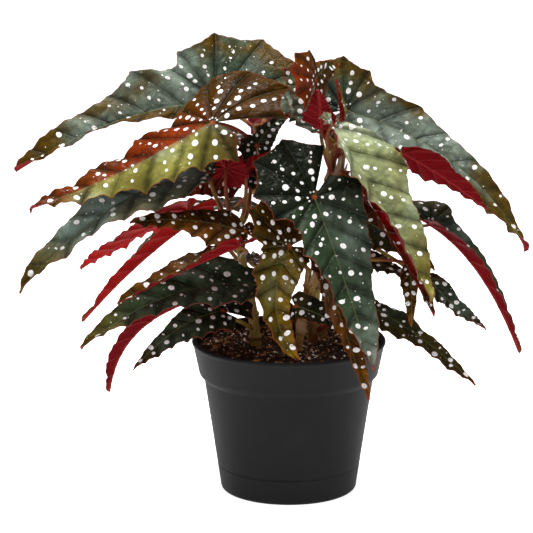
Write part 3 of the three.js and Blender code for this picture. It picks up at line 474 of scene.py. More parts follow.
# %% Flat blade
WIDE_WING = [(204, 0.29), (170, 0.345), (138, 0.335), (104, 0.28), (70, 0.23)]
NARROW_WING = [(130, 0.14), (92, 0.235)]
RIB_STARTS = np.array([0, 0.15, 0.33, 0.51, 0.68, 0.84, 1])
WIDE_REACH = np.array([0.16, 0.17, 0.12, 0.09, 0.065, 0.04, 0])
NARROW_REACH = np.array([0.225, 0.215, 0.165, 0.13, 0.1, 0.055, 0])
RIB_SLANT = 0.9
MARGIN_DENT = 0.1
MARGIN_TEETH = 0.008
BLADE_THICKNESS = 0.7
BLADE_CUP = 0.5
BLADE_HANG = 0.5
RINGS = np.array([0, 0.04, 0.11, 0.19, 0.28, 0.37, 0.47, 0.57, 0.67, 0.77, 0.86, 0.93, 0.975, 1.0])


def chance(seed, k):
    """A repeatable number from 0 to 1: what is left after the point of a large sine."""
    s = np.sin(seed * 12.9898 + k * 78.233) * 43758.5453
    return s - np.floor(s)


def smooth(low, high, x):
    """0 below low, 1 above high, and 3t^2 - 2t^3 between them."""
    t = np.clip((x - low) / (high - low), 0, 1)
    return t * t * (3 - 2 * t)


def rib_ends(wing, reach, leaf, lobe_size, spread, swing):
    """Where the ribs of one half end on the margin, in lengths of the blade: the lobe's ribs go out from the
    stalk at given angles, turned by the swing, and the others leave the midrib and slant towards the tip."""
    girth = leaf.get("girth", 1)
    angle = np.radians([w[0] + swing for w in wing])
    radius = np.array([w[1] for w in wing]) * leaf.get("wing", 1) * lobe_size
    lobe = np.stack([radius * np.cos(angle), radius * np.sin(angle) * girth], -1)
    out = reach * spread
    return np.concatenate([lobe, np.stack([RIB_STARTS + RIB_SLANT * out, out * girth], -1)])


def through(p0, p1, p2, p3, t):
    """The Catmull-Rom curve from p1 to p2."""
    t = t[:, None]
    return 0.5 * (2 * p1 + (p2 - p0) * t + (2 * p0 - 5 * p1 + 4 * p2 - p3) * t ** 2
                  + (3 * p1 - p0 - 3 * p2 + p3) * t ** 3)


def half_margin(ends, wing_count, steps):
    """Start on the midrib, end on the margin and place among the ribs of every column of one half. The
    margin runs through the rib ends, drawn in by a dent between them and by small teeth."""
    count = len(ends)
    column = np.linspace(0, count - 1, (count - 1) * steps + 1)
    i = np.minimum(column.astype(int), count - 2)
    t = column - i
    curve = through(ends[np.maximum(i - 1, 0)], ends[i], ends[i + 1], ends[np.minimum(i + 2, count - 1)], t)
    along = np.maximum(column - wing_count, 0)
    start = np.interp(along, np.arange(len(RIB_STARTS)), RIB_STARTS)
    between = 4 * t * (1 - t)
    share = 1 - MARGIN_DENT * between + MARGIN_TEETH * np.sin(2 * np.pi * 4 * column) * smooth(0, 1, column)
    end = np.stack([start + (curve[:, 0] - start) * share, curve[:, 1] * share], -1)
    return column, i, t, start, end


# %% [markdown]
# The midrib is a curve with one bend. Points are taken at equal distances along it, so that ribs keep their
# spacing where it bends. `on_blade` is the whole shape of a leaf in a few lines.

# %% Carry the blade along its midrib
def midrib(leaf):
    """A quadratic curve from the stalk to the tip, whose middle is raised by the arch, moved sideways by the
    bow and outwards by the push. Returns its measured table: distance, place and direction."""
    start, tip = np.array(leaf["at"], float), np.array(leaf["tip"], float)
    chord = (tip - start) * (1, 1, 0)
    chord = chord / np.linalg.norm(chord)
    left = np.cross((0, 0, 1), chord)
    bend = np.array([0, 0, leaf["arch"]]) + left * leaf.get("bow", 0) + chord * leaf.get("push", 0)
    middle = (start + tip) / 2 + 2 * bend
    t = np.linspace(0, 1, 401)[:, None]
    place = (1 - t) ** 2 * start + 2 * t * (1 - t) * middle + t ** 2 * tip
    direction = unit(2 * (1 - t) * (middle - start) + 2 * t * (tip - middle))
    return measured(place, direction=direction, left=left)


def measured(place, **more):
    """A curve as a table: its places, the share of the whole length at each of them, and that length."""
    run = np.concatenate([[0], np.cumsum(np.linalg.norm(np.diff(place, axis=0), axis=1))])
    return dict(run=run / run[-1], place=place, length=run[-1], **more)


def rows(table, key, along):
    """What a table says at some shares of its length, between its rows."""
    return np.stack([np.interp(along, table["run"], table[key][:, k]) for k in range(3)], -1)


def unit(v):
    """The same directions with length 1."""
    return v / np.linalg.norm(v, axis=-1, keepdims=True)


def on_blade(leaf, rib, a, b, lift):
    """The place of flat point (a, b): go a along the midrib, b sideways in the rolled plane, up by the fold
    of the halves, down by the cup and by the hang of the lobes, and up by lift along the blade's face."""
    length, wide = rib["length"], leaf["wide"]
    along = np.clip(a, 0, 1)
    tangent = unit(rows(rib, "direction", along))
    point = rows(rib, "place", along) + tangent * (np.minimum(a, 0) * length)[:, None]
    side = rib["left"] * wide
    side = unit(side - tangent * (tangent @ side)[:, None])
    normal = np.cross(tangent, side) * wide
    turn = np.radians(leaf["roll"][0] + (leaf["roll"][1] - leaf["roll"][0]) * along)[:, None]
    out = side * np.cos(turn) + normal * np.sin(turn)
    face = normal * np.cos(turn) - side * np.sin(turn)
    across = b * length
    fold = np.radians(leaf["fold"]) * smooth(-0.3, 0.12, a)
    back = np.minimum(a, 0)
    rise = (np.abs(across) * np.sin(fold) - BLADE_CUP * length * b ** 2
            - leaf.get("hang", BLADE_HANG) * length * back ** 2)
    return point + out * (across * np.cos(fold))[:, None] + face * (rise + lift)[:, None]


# %% [markdown]
# The dots stand in rows between the ribs, big in the middle of the blade and small towards the margin and
# the tip. They are placed in the flat blade, in millimetres, and each face of the mesh remembers its
# nearest dot.

# %% Dots in rows between the ribs
DOT_SPACING = 9.0
DOT_RADIUS = 2.5
LEAST_DOT = 0.55
DOT_SHARE = 0.27
DOT_SEED = 900
LEAST_STRIP = 4.0
DOT_APART, DOT_GAP = 1.15, 0.5


def dots_of(halves, length, seed):
    """Rows of dots down the middle of each strip between two ribs, a spacing apart and jittered. The radius
    is held to a share of the strip's width there, and a dot that would meet a bigger one is left out. Each
    row is place, place, radius, the turn of its long axis and its width over its length."""
    rng = np.random.RandomState(DOT_SEED + seed)
    found = []
    for half in halves:
        ends, starts, sign = half["ends"] * length, half["starts"] * length, half["sign"]
        for k in range(len(ends) - 1):
            share = 0.5 + rng.uniform(-0.1, 0.1)
            foot = np.array([starts[k] * (1 - share) + starts[k + 1] * share, 0.0])
            tip = (ends[k] * (1 - share) + ends[k + 1] * share) * (1 - MARGIN_DENT * 0.8)
            strip = np.linalg.norm(tip - foot)
            if strip < LEAST_STRIP:
                continue
            count = max(int(strip / DOT_SPACING), 1)
            q = (np.arange(count) + 0.62 + rng.uniform(-0.14, 0.14, count)) / (count + 0.25)
            width = (starts[k + 1] - starts[k]) * (1 - q) + np.linalg.norm(ends[k + 1] - ends[k]) * q
            place = foot + (tip - foot) * q[:, None]
            place = place + rng.uniform(-0.10, 0.10, (count, 2)) * width[:, None]
            grow = rng.uniform(0.5, 1.3, count) * (1 - 0.35 * smooth(0.55, 1.0, q))
            radius = np.minimum(DOT_RADIUS * grow, DOT_SHARE * width)
            keep = radius > LEAST_DOT
            turn = np.full(count, math.atan2(tip[1] * sign, tip[0] - foot[0]))
            found.append(np.stack([place[:, 0], place[:, 1] * sign, radius, turn], -1)[keep])
    found = np.concatenate(found)
    clear = []
    for dot in found[np.argsort(-found[:, 2])]:
        if all(math.hypot(*(dot[:2] - other[:2]))
               > DOT_APART * (dot[2] + other[2]) + DOT_GAP for other in clear):
            clear.append(dot)
    clear = np.array(clear)
    clear[:, 3] += rng.uniform(-0.4, 0.4, len(clear))
    return np.concatenate([clear, rng.uniform(0.66, 0.98, (len(clear), 1))], 1)


# %% [markdown]
# A real blade isn't a flat sheet between its ribs: it swells up there, and below it the midrib and the ribs
# stand proud. So the upper face is pillowed and the lower face gets ridges, on top of the ruffle of the
# margin.

# %% Make one blade
PILLOW_SHARE = 0.055
PILLOW_MOST = 1.6
RIPPLE_SHARE = 0.22
WELD_DISTANCE = 0.002


def distance_to_lines(points, feet, ends):
    """The shortest distance from each flat point to a set of straight lines from their feet to their ends."""
    run = ends - feet
    share = ((points[:, None] - feet) * run).sum(-1) / np.maximum((run ** 2).sum(-1), 1e-9)
    nearest = feet + run * np.clip(share, 0, 1)[..., None]
    return np.linalg.norm(points[:, None] - nearest, axis=-1).min(1)


def blade_grid(leaf, seed):
    """Both halves of the blade's middle surface as one welded sheet, with what the finishes need."""
    rib = midrib(leaf)
    length = rib["length"]
    steps = 10 if length > 150 else 8 if length > 95 else 6
    halves, flats, lifts, quads, edges, margins = [], [], [], [], [], []
    offset = 0
    slim = leaf.get("slim", 1)
    own_wide, own_narrow = (1, leaf.get("broad", 1), leaf.get("swing", 0)), (slim, slim, 0)
    both = ((WIDE_WING, WIDE_REACH, 1, own_wide), (NARROW_WING, NARROW_REACH, -1, own_narrow))
    for which, (wing, reach, sign, own) in enumerate(both):
        ends = rib_ends(wing, reach, leaf, *own)
        column, i, t, start, end = half_margin(ends, len(wing), steps)
        tooth = 2 * chance(seed + 7 * which, np.arange(len(ends))) - 1
        ease = smooth(0, 1, t)
        between = 4 * t * (1 - t)
        wave = leaf["ruffle"] * (tooth[i] * (1 - ease) + tooth[i + 1] * ease + 0.9 * between)
        ripple = RIPPLE_SHARE * leaf["ruffle"] * np.sin(2 * np.pi * (2 * column + tooth[0]))
        q = RINGS[None, :]
        a = start[:, None] * (1 - q) + end[:, :1] * q
        b = end[:, 1:] * q * sign
        strip = np.abs(np.gradient(end[:, 0])) * steps * length
        pillow = np.minimum(PILLOW_SHARE * strip, PILLOW_MOST)[:, None] * np.sin(np.pi * q ** 0.8)
        lift = wave[:, None] * q ** 2 + ripple[:, None] * q ** 4 + pillow * between[:, None]
        count = len(column)
        index = offset + np.arange(count * len(RINGS)).reshape(count, len(RINGS))
        quad = np.stack([index[:-1, :-1], index[:-1, 1:], index[1:, 1:], index[1:, :-1]], -1).reshape(-1, 4)
        quads.append(quad if sign * leaf["wide"] < 0 else quad[:, [0, 3, 2, 1]])
        flats.append(np.stack([a.ravel(), b.ravel()], -1))
        lifts.append(lift.ravel())
        reach_out = np.linalg.norm(end - np.stack([start, 0 * start], -1), axis=1)
        edges.append(((1 - q) * reach_out[:, None]).ravel())
        margins.append(np.concatenate([index[0, :], index[1:, -1]]))
        starts = np.interp(np.maximum(np.arange(len(ends)) - len(wing), 0), np.arange(7), RIB_STARTS)
        halves.append(dict(ends=ends, starts=starts, sign=sign))
        offset += index.size
    flat, lift = np.concatenate(flats), np.concatenate(lifts)
    place = on_blade(leaf, rib, flat[:, 0], flat[:, 1], lift)
    key = np.round(place / WELD_DISTANCE).astype(np.int64)
    _, first, weld = np.unique(key, axis=0, return_index=True, return_inverse=True)
    weld = weld.ravel()
    border = weld[np.concatenate([margins[0], margins[1][::-1][1:-1]])]
    return dict(rib=rib, flat=flat[first], place=place[first], edge=np.concatenate(edges)[first] * length,
                quads=weld[np.concatenate(quads)], border=border, halves=halves)


def split_faces(quads):
    """Quads with a doubled corner become triangles; the others stay."""
    ordered = np.sort(quads, 1)
    doubled = (ordered[:, 1:] == ordered[:, :-1]).any(1)
    pinched = quads[doubled]
    roll_by = np.argmax(pinched == np.roll(pinched, -1, 1), 1)
    picks = (roll_by[:, None] + np.array([1, 2, 3])) % 4
    triangles = np.take_along_axis(pinched, picks, 1)
    return triangles, quads[~doubled]


def corner_normals(place, triangles, quads):
    """The normal at each vertex, from the crossed diagonals of the faces around it."""
    normal = np.zeros_like(place)
    for faces, (a, b, c, d) in ((triangles, (0, 1, 0, 2)), (quads, (0, 2, 1, 3))):
        corner = place[faces]
        flat = np.cross(corner[:, b] - corner[:, a], corner[:, d] - corner[:, c])
        for k in range(faces.shape[1]):
            np.add.at(normal, faces[:, k], flat)
    return unit(normal)


# %% [markdown]
# The canes are smooth curves through four points, and a stalk leaves its cane, rises, and bends into the
# back of its blade. Both are tubes: a ring of points carried along a path.

# %% Canes' centre lines and tubes
CANE_JOINTS = 6
JOINT_SWELL = 0.28
STALK_RADIUS = 1.6
STALK_FOOT_SWELL = 1.25
STALK_TAPER = 0.4
STALK_ROOT_DEPTH = 0.4
STALK_OUT, STALK_UP = 0.8, 0.6
STALK_ROOT_PULL, STALK_BLADE_PULL, STALK_LEAN = 0.35, 0.22, 0.2


def cane_table(cane):
    """The centripetal Catmull-Rom curve through the cane's points, with one point more beyond each end, as a
    measured table of distance and place."""
    points = np.array(cane["path"], float)
    points = np.concatenate([[2 * points[0] - points[1]], points, [2 * points[-1] - points[-2]]])
    t = np.linspace(0, 1, 201)[:, None]
    pieces = []
    for k in range(len(points) - 3):
        p0, p1, p2, p3 = points[k:k + 4]
        d0, d1, d2 = (np.linalg.norm(q - p) ** 0.5 for p, q in ((p0, p1), (p1, p2), (p2, p3)))
        go = ((p1 - p0) / d0 - (p2 - p0) / (d0 + d1) + (p2 - p1) / d1) * d1
        come = ((p2 - p1) / d1 - (p3 - p1) / (d1 + d2) + (p3 - p2) / d2) * d1
        square, cube = -3 * p1 + 3 * p2 - 2 * go - come, 2 * p1 - 2 * p2 + go + come
        piece = p1 + go * t + square * t ** 2 + cube * t ** 3
        pieces.append(piece if k == 0 else piece[1:])
    return measured(np.concatenate(pieces))


def at_joint(share, far, near):
    """1 nearer than near to a joint and 0 farther than far, in joint lengths; none at the cane's ends."""
    from_joint = np.abs((share * CANE_JOINTS + 0.5) % 1 - 0.5)
    return smooth(far, near, from_joint) * (share > 0.05) * (share < 0.98)


def cane_radius(cane, share):
    """Tapers from foot to top and swells within a sixth of a joint's length of each joint."""
    base = cane["radius"][0] + (cane["radius"][1] - cane["radius"][0]) * share
    return base * (1 + JOINT_SWELL * at_joint(share, 0.16, 0.02))


def round_turn(sides):
    """The angles of points at equal distances on a circle."""
    return 2 * np.pi * np.arange(sides) / sides


def tube_grid(path, radius, across, sides, thinness=1.0):
    """Rings of points round a path: across gives the ring's first spoke, and thinness flattens the ring."""
    tangent = unit(np.gradient(path, axis=0))
    side = unit(across - tangent * (tangent @ np.asarray(across, float))[:, None])
    up = np.cross(tangent, side)
    turn = round_turn(sides)
    spoke = side[:, None] * np.cos(turn)[:, None] + up[:, None] * (thinness * np.sin(turn))[:, None]
    return path[:, None] + spoke * radius[:, None, None]


def ring_quads(count, sides, start):
    """The point numbers of rings, and the quads between neighbouring rings."""
    ring = start + np.arange(count * sides).reshape(count, sides)
    after = np.roll(ring, -1, 1)
    return ring, np.stack([ring[:-1], after[:-1], after[1:], ring[1:]], -1).reshape(-1, 4)


def tube_faces(count, sides, start):
    """Quads between neighbouring rings, and a many-sided cap at each end."""
    ring, quads = ring_quads(count, sides, start)
    return quads, [ring[0][::-1].tolist(), ring[-1].tolist()]


def stalk_grid(leaf, rib):
    """A cubic curve from the cane's skin to the stalk's end under the blade, thicker at its foot."""
    cane = CANES[leaf["cane"]]
    table = cane_table(cane)
    root = rows(table, "place", np.array([leaf["joint"]]))[0]
    one = np.zeros(1)
    end = on_blade(leaf, rib, one, one, one - 0.2)[0]
    down = unit(on_blade(leaf, rib, one, one, one - 1)[0] - end)
    backwards = -rib["direction"][0]
    outward = unit((end - root) * (1, 1, 0))
    reach = np.linalg.norm(end - root)
    leave = unit(outward * STALK_OUT + (0, 0, STALK_UP))
    start = root + outward * cane_radius(cane, leaf["joint"]) * STALK_ROOT_DEPTH
    near_root = start + leave * reach * STALK_ROOT_PULL
    near_blade = end + down * reach * STALK_BLADE_PULL + backwards * reach * leaf.get("lean", STALK_LEAN)
    t = np.linspace(0, 1, 25)[:, None]
    path = ((1 - t) ** 3 * start + 3 * t * (1 - t) ** 2 * near_root + 3 * t ** 2 * (1 - t) * near_blade
            + t ** 3 * end)
    radius = STALK_RADIUS * (STALK_FOOT_SWELL - STALK_TAPER * t[:, 0])
    return tube_grid(path, radius, np.cross((0, 0, 1), outward), 10)


# %% [markdown]
# Now a leaf is put together: the upper face, the lower face, the rim between them and the stalk. The faces
# carry the UV maps: "flat" is the place in the flat blade, "spot" the place from the nearest dot in dot
# radii, and "OFBake" lays every face out once in a square, the upper side above and the underside below.

# %% Put a leaf together
MIDRIB_RIDGE, MIDRIB_WIDTH = 0.8, 1.3
VEIN_RIDGE, VEIN_WIDTH = 0.25, 0.8
FLAT_SCALE = 0.01
FAR_FROM_DOT = 5.0
FAR_FROM_VEIN = 9.0
SEED_SHIFT = 7.3
BAKE_BLADE, BAKE_UPPER, BAKE_LOWER = (0.98, 0.46), (0.01, 0.53), (0.01, 0.055)
BAKE_RIM = (0.003, 0.011)
BAKE_STALK, BAKE_STALK_SIZE = (0.01, 0.016), (0.9, 0.034)
BAKE_CAP, BAKE_CAP_RADIUS, BAKE_CAP_STEP = (0.93, 0.033), 0.012, 0.03


def new_mesh(name, place, faces, finishes, slots, smooth_faces=True):
    """A mesh object in metres from places in millimetres, linked into the scene."""
    mesh = bpy.data.meshes.new(name)
    mesh.from_pydata((place * MM).tolist(), [], faces)
    for finish in finishes:
        mesh.materials.append(finish)
    mesh.polygons.foreach_set("material_index", np.asarray(slots, np.int32))
    mesh.polygons.foreach_set("use_smooth", np.full(len(faces), smooth_faces))
    piece = bpy.data.objects.new(name, mesh)
    bpy.context.scene.collection.objects.link(piece)
    return piece


def numbers_on(mesh, name, values):
    """A number on every vertex."""
    mesh.attributes.new(name, "FLOAT", "POINT").data.foreach_set("value", np.asarray(values, np.float32))


def colours_on(mesh, name, values):
    """A colour on every vertex."""
    full = np.concatenate([values, np.ones((len(values), 1))], 1).astype(np.float32)
    mesh.attributes.new(name, "FLOAT_COLOR", "POINT").data.foreach_set("color", full.ravel())


def uv_on(mesh, name, corners):
    """A UV map with a place for every corner of every face."""
    mesh.uv_layers.new(name=name).data.foreach_set("uv", corners.astype(np.float32).ravel())


def blade_tones(look, flat):
    """The wide half's tone passes to the narrow half's across the midrib, and both to the tone of the lobe
    behind the stalk and to the tip's."""
    wide, narrow, tip, lobe, under = (np.array(TONES[name]) for name in look.split())
    to_wide = smooth(-0.02, 0.02, flat[:, 1])[:, None]
    tone = narrow * (1 - to_wide) + wide * to_wide
    to_lobe = smooth(0.16, -0.12, flat[:, 0] - 0.3 * np.abs(flat[:, 1]))[:, None]
    tone = tone * (1 - to_lobe) + lobe * to_lobe
    to_tip = smooth(0.62, 0.98, flat[:, 0])[:, None]
    return tone * (1 - to_tip) + tip * to_tip, np.broadcast_to(under, tone.shape)


def make_leaf(name, leaf, seed):
    """One leaf as one closed piece: upper face, lower face, rim and stalk."""
    grid = blade_grid(leaf, seed)
    place, flat, length = grid["place"], grid["flat"], grid["rib"]["length"]
    triangles, quads = split_faces(grid["quads"])
    normal = corner_normals(place, triangles, quads)
    flat_mm = flat * length
    feet = np.concatenate([np.stack([h["starts"], 0 * h["starts"]], -1) for h in grid["halves"]]) * length
    ends = np.concatenate([h["ends"] * (1, h["sign"]) for h in grid["halves"]]) * length
    vein = distance_to_lines(flat_mm, feet, ends)
    rib = np.where(flat[:, 0] < 0, np.linalg.norm(flat_mm, axis=1), np.abs(flat_mm[:, 1]))
    ridge = MIDRIB_RIDGE * (1 - 0.7 * np.clip(flat[:, 0], 0, 1)) * np.exp(-(rib / MIDRIB_WIDTH) ** 2)
    ridge = ridge + VEIN_RIDGE * np.exp(-(vein / VEIN_WIDTH) ** 2) * (grid["edge"] > 2)
    count = len(place)
    upper = place + normal * BLADE_THICKNESS / 2
    lower = place - normal * (BLADE_THICKNESS / 2 + ridge)[:, None]
    stalk = stalk_grid(leaf, grid["rib"])
    rings, sides = stalk.shape[:2]
    border = grid["border"]
    after = np.roll(border, -1)
    rim = np.stack([border, after, after + count, border + count], -1)
    if leaf["wide"] > 0:
        rim = rim[:, ::-1]
    stalk_quads, caps = tube_faces(rings, sides, 2 * count)
    faces = (triangles.tolist() + quads.tolist() + (triangles[:, ::-1] + count).tolist()
             + (quads[:, ::-1] + count).tolist() + rim.tolist() + stalk_quads.tolist() + caps)
    one_side = len(triangles) + len(quads)
    slots = [0] * one_side + [1] * (one_side + len(rim)) + [2] * (len(stalk_quads) + 2)
    points = np.concatenate([upper, lower, stalk.reshape(-1, 3)])
    piece = new_mesh("leaf_of_" + name, points, faces, LEAF_FINISHES, slots)
    mesh = piece.data

    tone, under = blade_tones(leaf.get("look", USUAL_LOOK), flat)
    rest = len(points) - 2 * count
    colours_on(mesh, "tone", np.concatenate([tone, under, np.ones((rest, 3)) * 0.1]))
    heart = np.linalg.norm(flat_mm, axis=1)
    age = np.full(count, leaf.get("age", USUAL_AGE))
    for key, values in (("vein", vein), ("rib", rib), ("edge", grid["edge"]), ("heart", heart), ("age", age)):
        numbers_on(mesh, key, np.concatenate([values, values, np.full(rest, FAR_FROM_VEIN)]))

    corner = np.empty(len(mesh.loops), np.int32)
    mesh.loops.foreach_get("vertex_index", corner)
    size = np.empty(len(mesh.polygons), np.int32)
    mesh.polygons.foreach_get("loop_total", size)
    face_of = np.repeat(np.arange(len(size)), size)
    whole_flat = np.concatenate([flat_mm, flat_mm, np.zeros((rest, 2))])
    corner_flat = whole_flat[corner]
    uv_on(mesh, "flat", corner_flat * FLAT_SCALE + seed * SEED_SHIFT)
    dots = dots_of(grid["halves"], length, seed)
    centre = np.zeros((len(size), 2))
    np.add.at(centre, face_of, corner_flat)
    centre = centre / size[:, None]
    reach = np.linalg.norm(centre[:, None] - dots[None, :, :2], axis=-1) - dots[:, 2]
    nearest = dots[reach.argmin(1)][face_of]
    away = (corner_flat - nearest[:, :2]) / nearest[:, 2:3]
    cosine, sine = np.cos(nearest[:, 3]), np.sin(nearest[:, 3])
    spot = np.stack([away[:, 0] * cosine + away[:, 1] * sine,
                     (away[:, 1] * cosine - away[:, 0] * sine) / nearest[:, 4]], -1)
    spot[np.asarray(slots)[face_of] > 0] = FAR_FROM_DOT
    uv_on(mesh, "spot", spot)

    low, high = flat.min(0), flat.max(0)
    laid = (flat - low) / (high - low)
    bake = np.zeros((len(points), 2))
    bake[:count] = laid * BAKE_BLADE + BAKE_UPPER
    bake[count:2 * count] = laid * BAKE_BLADE + BAKE_LOWER
    bake = bake[corner]
    rim_face = (face_of >= 2 * one_side) & (face_of < 2 * one_side + len(rim))
    turn_corner = np.arange(len(corner)) - np.concatenate([[0], np.cumsum(size)])[face_of]
    along = (face_of - 2 * one_side + ((turn_corner == 1) | (turn_corner == 2))) / len(rim)
    height = np.where(turn_corner < 2, *BAKE_RIM)
    bake[rim_face] = np.stack([0.01 + 0.98 * along, height], -1)[rim_face]
    stalk_face = face_of >= 2 * one_side + len(rim)
    k = face_of - 2 * one_side - len(rim)
    ring, side = k // sides, k % sides
    ring = ring + ((turn_corner == 2) | (turn_corner == 3))
    side = side + ((turn_corner == 1) | (turn_corner == 2))
    cap = size[face_of] > 4
    turned = 2 * np.pi * turn_corner / sides
    stalk_uv = np.stack([ring, side], -1) * BAKE_STALK_SIZE / (rings, sides) + BAKE_STALK
    cap_uv = np.stack([np.cos(turned), np.sin(turned)], -1) * BAKE_CAP_RADIUS + BAKE_CAP
    cap_uv[:, 0] += BAKE_CAP_STEP * (k % 2)
    bake[stalk_face] = np.where(cap[:, None], cap_uv, stalk_uv)[stalk_face]
    uv_on(mesh, "OFBake", bake)
    mark_rim(mesh, border, count)
    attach(piece, "root")
    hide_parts("leaf_" + name)
    return piece, len(dots)


def mark_rim(mesh, border, count):
    """The two edges of the rim stay sharp, so that the faces beside them are shaded flat to the margin."""
    ends = np.empty(2 * len(mesh.edges), np.int32)
    mesh.edges.foreach_get("vertices", ends)
    ends = ends.reshape(-1, 2)
    on_rim = np.zeros(len(mesh.vertices), bool)
    on_rim[border] = True
    on_rim[border + count] = True
    side = ends // count
    sharp = on_rim[ends].all(1) & (side[:, 0] == side[:, 1]) & (side[:, 0] < 2)
    mesh.attributes.new("sharp_edge", "BOOLEAN", "EDGE").data.foreach_set("value", sharp)


# %% [markdown]
# Every row of the table becomes a leaf, and its place in the table is the seed of its chances. The slot of
# the CAD leaf that it takes the place of is looked up, but not given to it.

# %% Make all the leaves
slot_of = {entry["node"]: entry["material_slot"] for entry in frame["record"]["subparts"]}
faces_made = 0
dots_made = 0
for seed, (leaf_name, leaf_values) in enumerate(LEAVES.items()):
    made, dot_count = make_leaf(leaf_name, leaf_values, seed)
    slot_of["leaf_" + leaf_name]
    faces_made += len(made.data.polygons)
    dots_made += dot_count
print("leaves:", len(LEAVES), "faces:", faces_made, "dots:", dots_made)

# %% [markdown]
# ## Canes
#
# An angel-wing begonia grows in canes like thin bamboo: olive to brown, with pale flecks, a swollen joint
# every few centimetres and a ring scar on each. At some joints a papery scale, the stipule, still stands.

# %% Cane finish
def cane_finish():
    """Olive and brown mixed by noise drawn out along the cane, pale flecks and a brown ring on each joint."""
    cane = Finish("cane_skin")
    patches = cane.noise(90.0, 4.0, 0.16)
    flecks = cane.noise(1500.0, 1.0, 0.16)
    joint = cane.attribute("joint")
    colour = cane.lay((0.20, 0.14, 0.02), (0.15, 0.04, 0.010), patches, 0.35, 0.65)
    colour = cane.lay(colour, (0.45, 0.33, 0.20), flecks, 0.60, 0.70, 0.6)
    colour = cane.mix(joint * 0.75, colour, (0.10, 0.035, 0.018))
    return cane.done(colour, 0.38 + 0.2 * patches, 0.15, flecks * 0.5 + joint * 0.7, 0.0004)


def stipule_finish():
    """Dry scale: tan to olive with fine lengthwise lines."""
    scale = Finish("stipule_paper")
    lines = scale.noise(1100.0, 2.0, 0.1)
    patches = scale.noise(70.0, 2.0)
    colour = scale.lay((0.22, 0.115, 0.050), (0.125, 0.065, 0.012), patches, 0.35, 0.65)
    colour = scale.tint(colour, 0.7 + 0.6 * lines)
    return scale.done(colour, 0.6 + 0.2 * lines, height=lines, depth=0.0004)


CANE_FINISHES = [cane_finish(), stipule_finish()]

# %% [markdown]
# The cane is a tube with rings close together, so that the swell at a joint is round. The stipules are thin
# flattened tubes that end in a point, in the same places as in the CAD source.

# %% Make the canes
STIPULE_JOINTS = (2, 5)
STIPULE_SLENDERNESS = 2.5
STIPULE_TURN = 137
STIPULE_LEAN = 0.4
CANE_RINGS = 141
CANE_SIDES = 24
STIPULE_THINNESS = 0.16
STIPULE_SHAPE = ([0, 0.15, 0.35, 0.7, 0.95, 1], [0.7, 0.95, 1, 0.72, 0.28, 0.12])
RING_SCAR = 0.25


def stipule_grid(cane, table, joint):
    """A scale that stands up and out from its joint: half its width at the foot, widest in the lower third,
    and drawn to a point."""
    share = joint / CANE_JOINTS
    turn = math.radians(STIPULE_TURN * joint)
    outward = np.array([math.cos(turn), math.sin(turn), 0.0])
    root = rows(table, "place", np.array([share]))[0] + outward * cane_radius(cane, share) * 0.7
    rise = np.linspace(0, 1, 19)
    length = cane["stipule"]
    out, up = length * STIPULE_LEAN * rise ** 0.8, length * rise
    path = root + outward * out[:, None] + np.array([0, 0, 1]) * up[:, None]
    width = length / STIPULE_SLENDERNESS / 2 * np.interp(rise, *STIPULE_SHAPE)
    return tube_grid(path, width, np.cross((0, 0, 1), outward), 12, STIPULE_THINNESS)


def make_cane(name, cane):
    """One cane and its stipules as one piece."""
    table = cane_table(cane)
    share = np.linspace(0, 1, CANE_RINGS)
    path = rows(table, "place", share)
    ring_scar = at_joint(share, 0.05, 0.015)
    radius = cane_radius(cane, share) + RING_SCAR * ring_scar
    grids = [tube_grid(path, radius, (1, 0, 0), CANE_SIDES)]
    grids += [stipule_grid(cane, table, joint) for joint in STIPULE_JOINTS]
    faces, slots, start = [], [], 0
    for number, grid in enumerate(grids):
        quads, caps = tube_faces(*grid.shape[:2], start)
        faces += quads.tolist() + caps
        slots += [min(number, 1)] * (len(quads) + 2)
        start += grid.shape[0] * grid.shape[1]
    points = np.concatenate([grid.reshape(-1, 3) for grid in grids])
    piece = new_mesh("cane_of_" + name, points, faces, CANE_FINISHES, slots)
    joint_mark = np.zeros(len(points))
    joint_mark[:CANE_RINGS * CANE_SIDES] = np.repeat(ring_scar, CANE_SIDES)
    numbers_on(piece.data, "joint", joint_mark)
    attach(piece, "root")
    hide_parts("cane_" + name)


for cane_name, cane_values in CANES.items():
    make_cane(cane_name, cane_values)
print("canes:", len(CANES))

# %% [markdown]
# ## Soil
#
# Potting mix is crumbs of peat and bark with white grains of perlite. Below is one closed body with an
# uneven top; on it lie loose crumbs. Scattering whole objects would make thousands of them, so the crumbs
# are one mesh of small rough stones, each a copy of one twenty-faced form, stretched, turned and coloured
# by chance.

# %% Soil and crumb finish
def soil_finish(name, colour):
    """Dark crumbly ground: one size of cells and a fine noise in the bump, and two noises that lighten and
    darken the colour.
    """
    soil = Finish(name)
    tone = colour or soil.attribute("tone", 0)
    crumbs = soil.cells(soil.place, 420.0, "F1")
    grain = soil.noise(1300.0, 4.0)
    patches = soil.noise(160.0)
    mixed = soil.tint(tone, 0.15 + 0.9 * patches + 0.8 * grain)
    return soil.done(mixed, 0.85, 0.10, grain * 0.6 - crumbs * 0.8, 0.0012)


SOIL_FINISH = soil_finish("potting_mix", (0.020, 0.009, 0.004))
CRUMB_FINISH = soil_finish("loose_crumbs", None)

# %% [markdown]
# The soil is turned like the pot that holds it, so the pot's measures come first, the same as in the CAD
# source, in millimetres. The body keeps a small gap to the wall, and its top is a low mound with lumps.

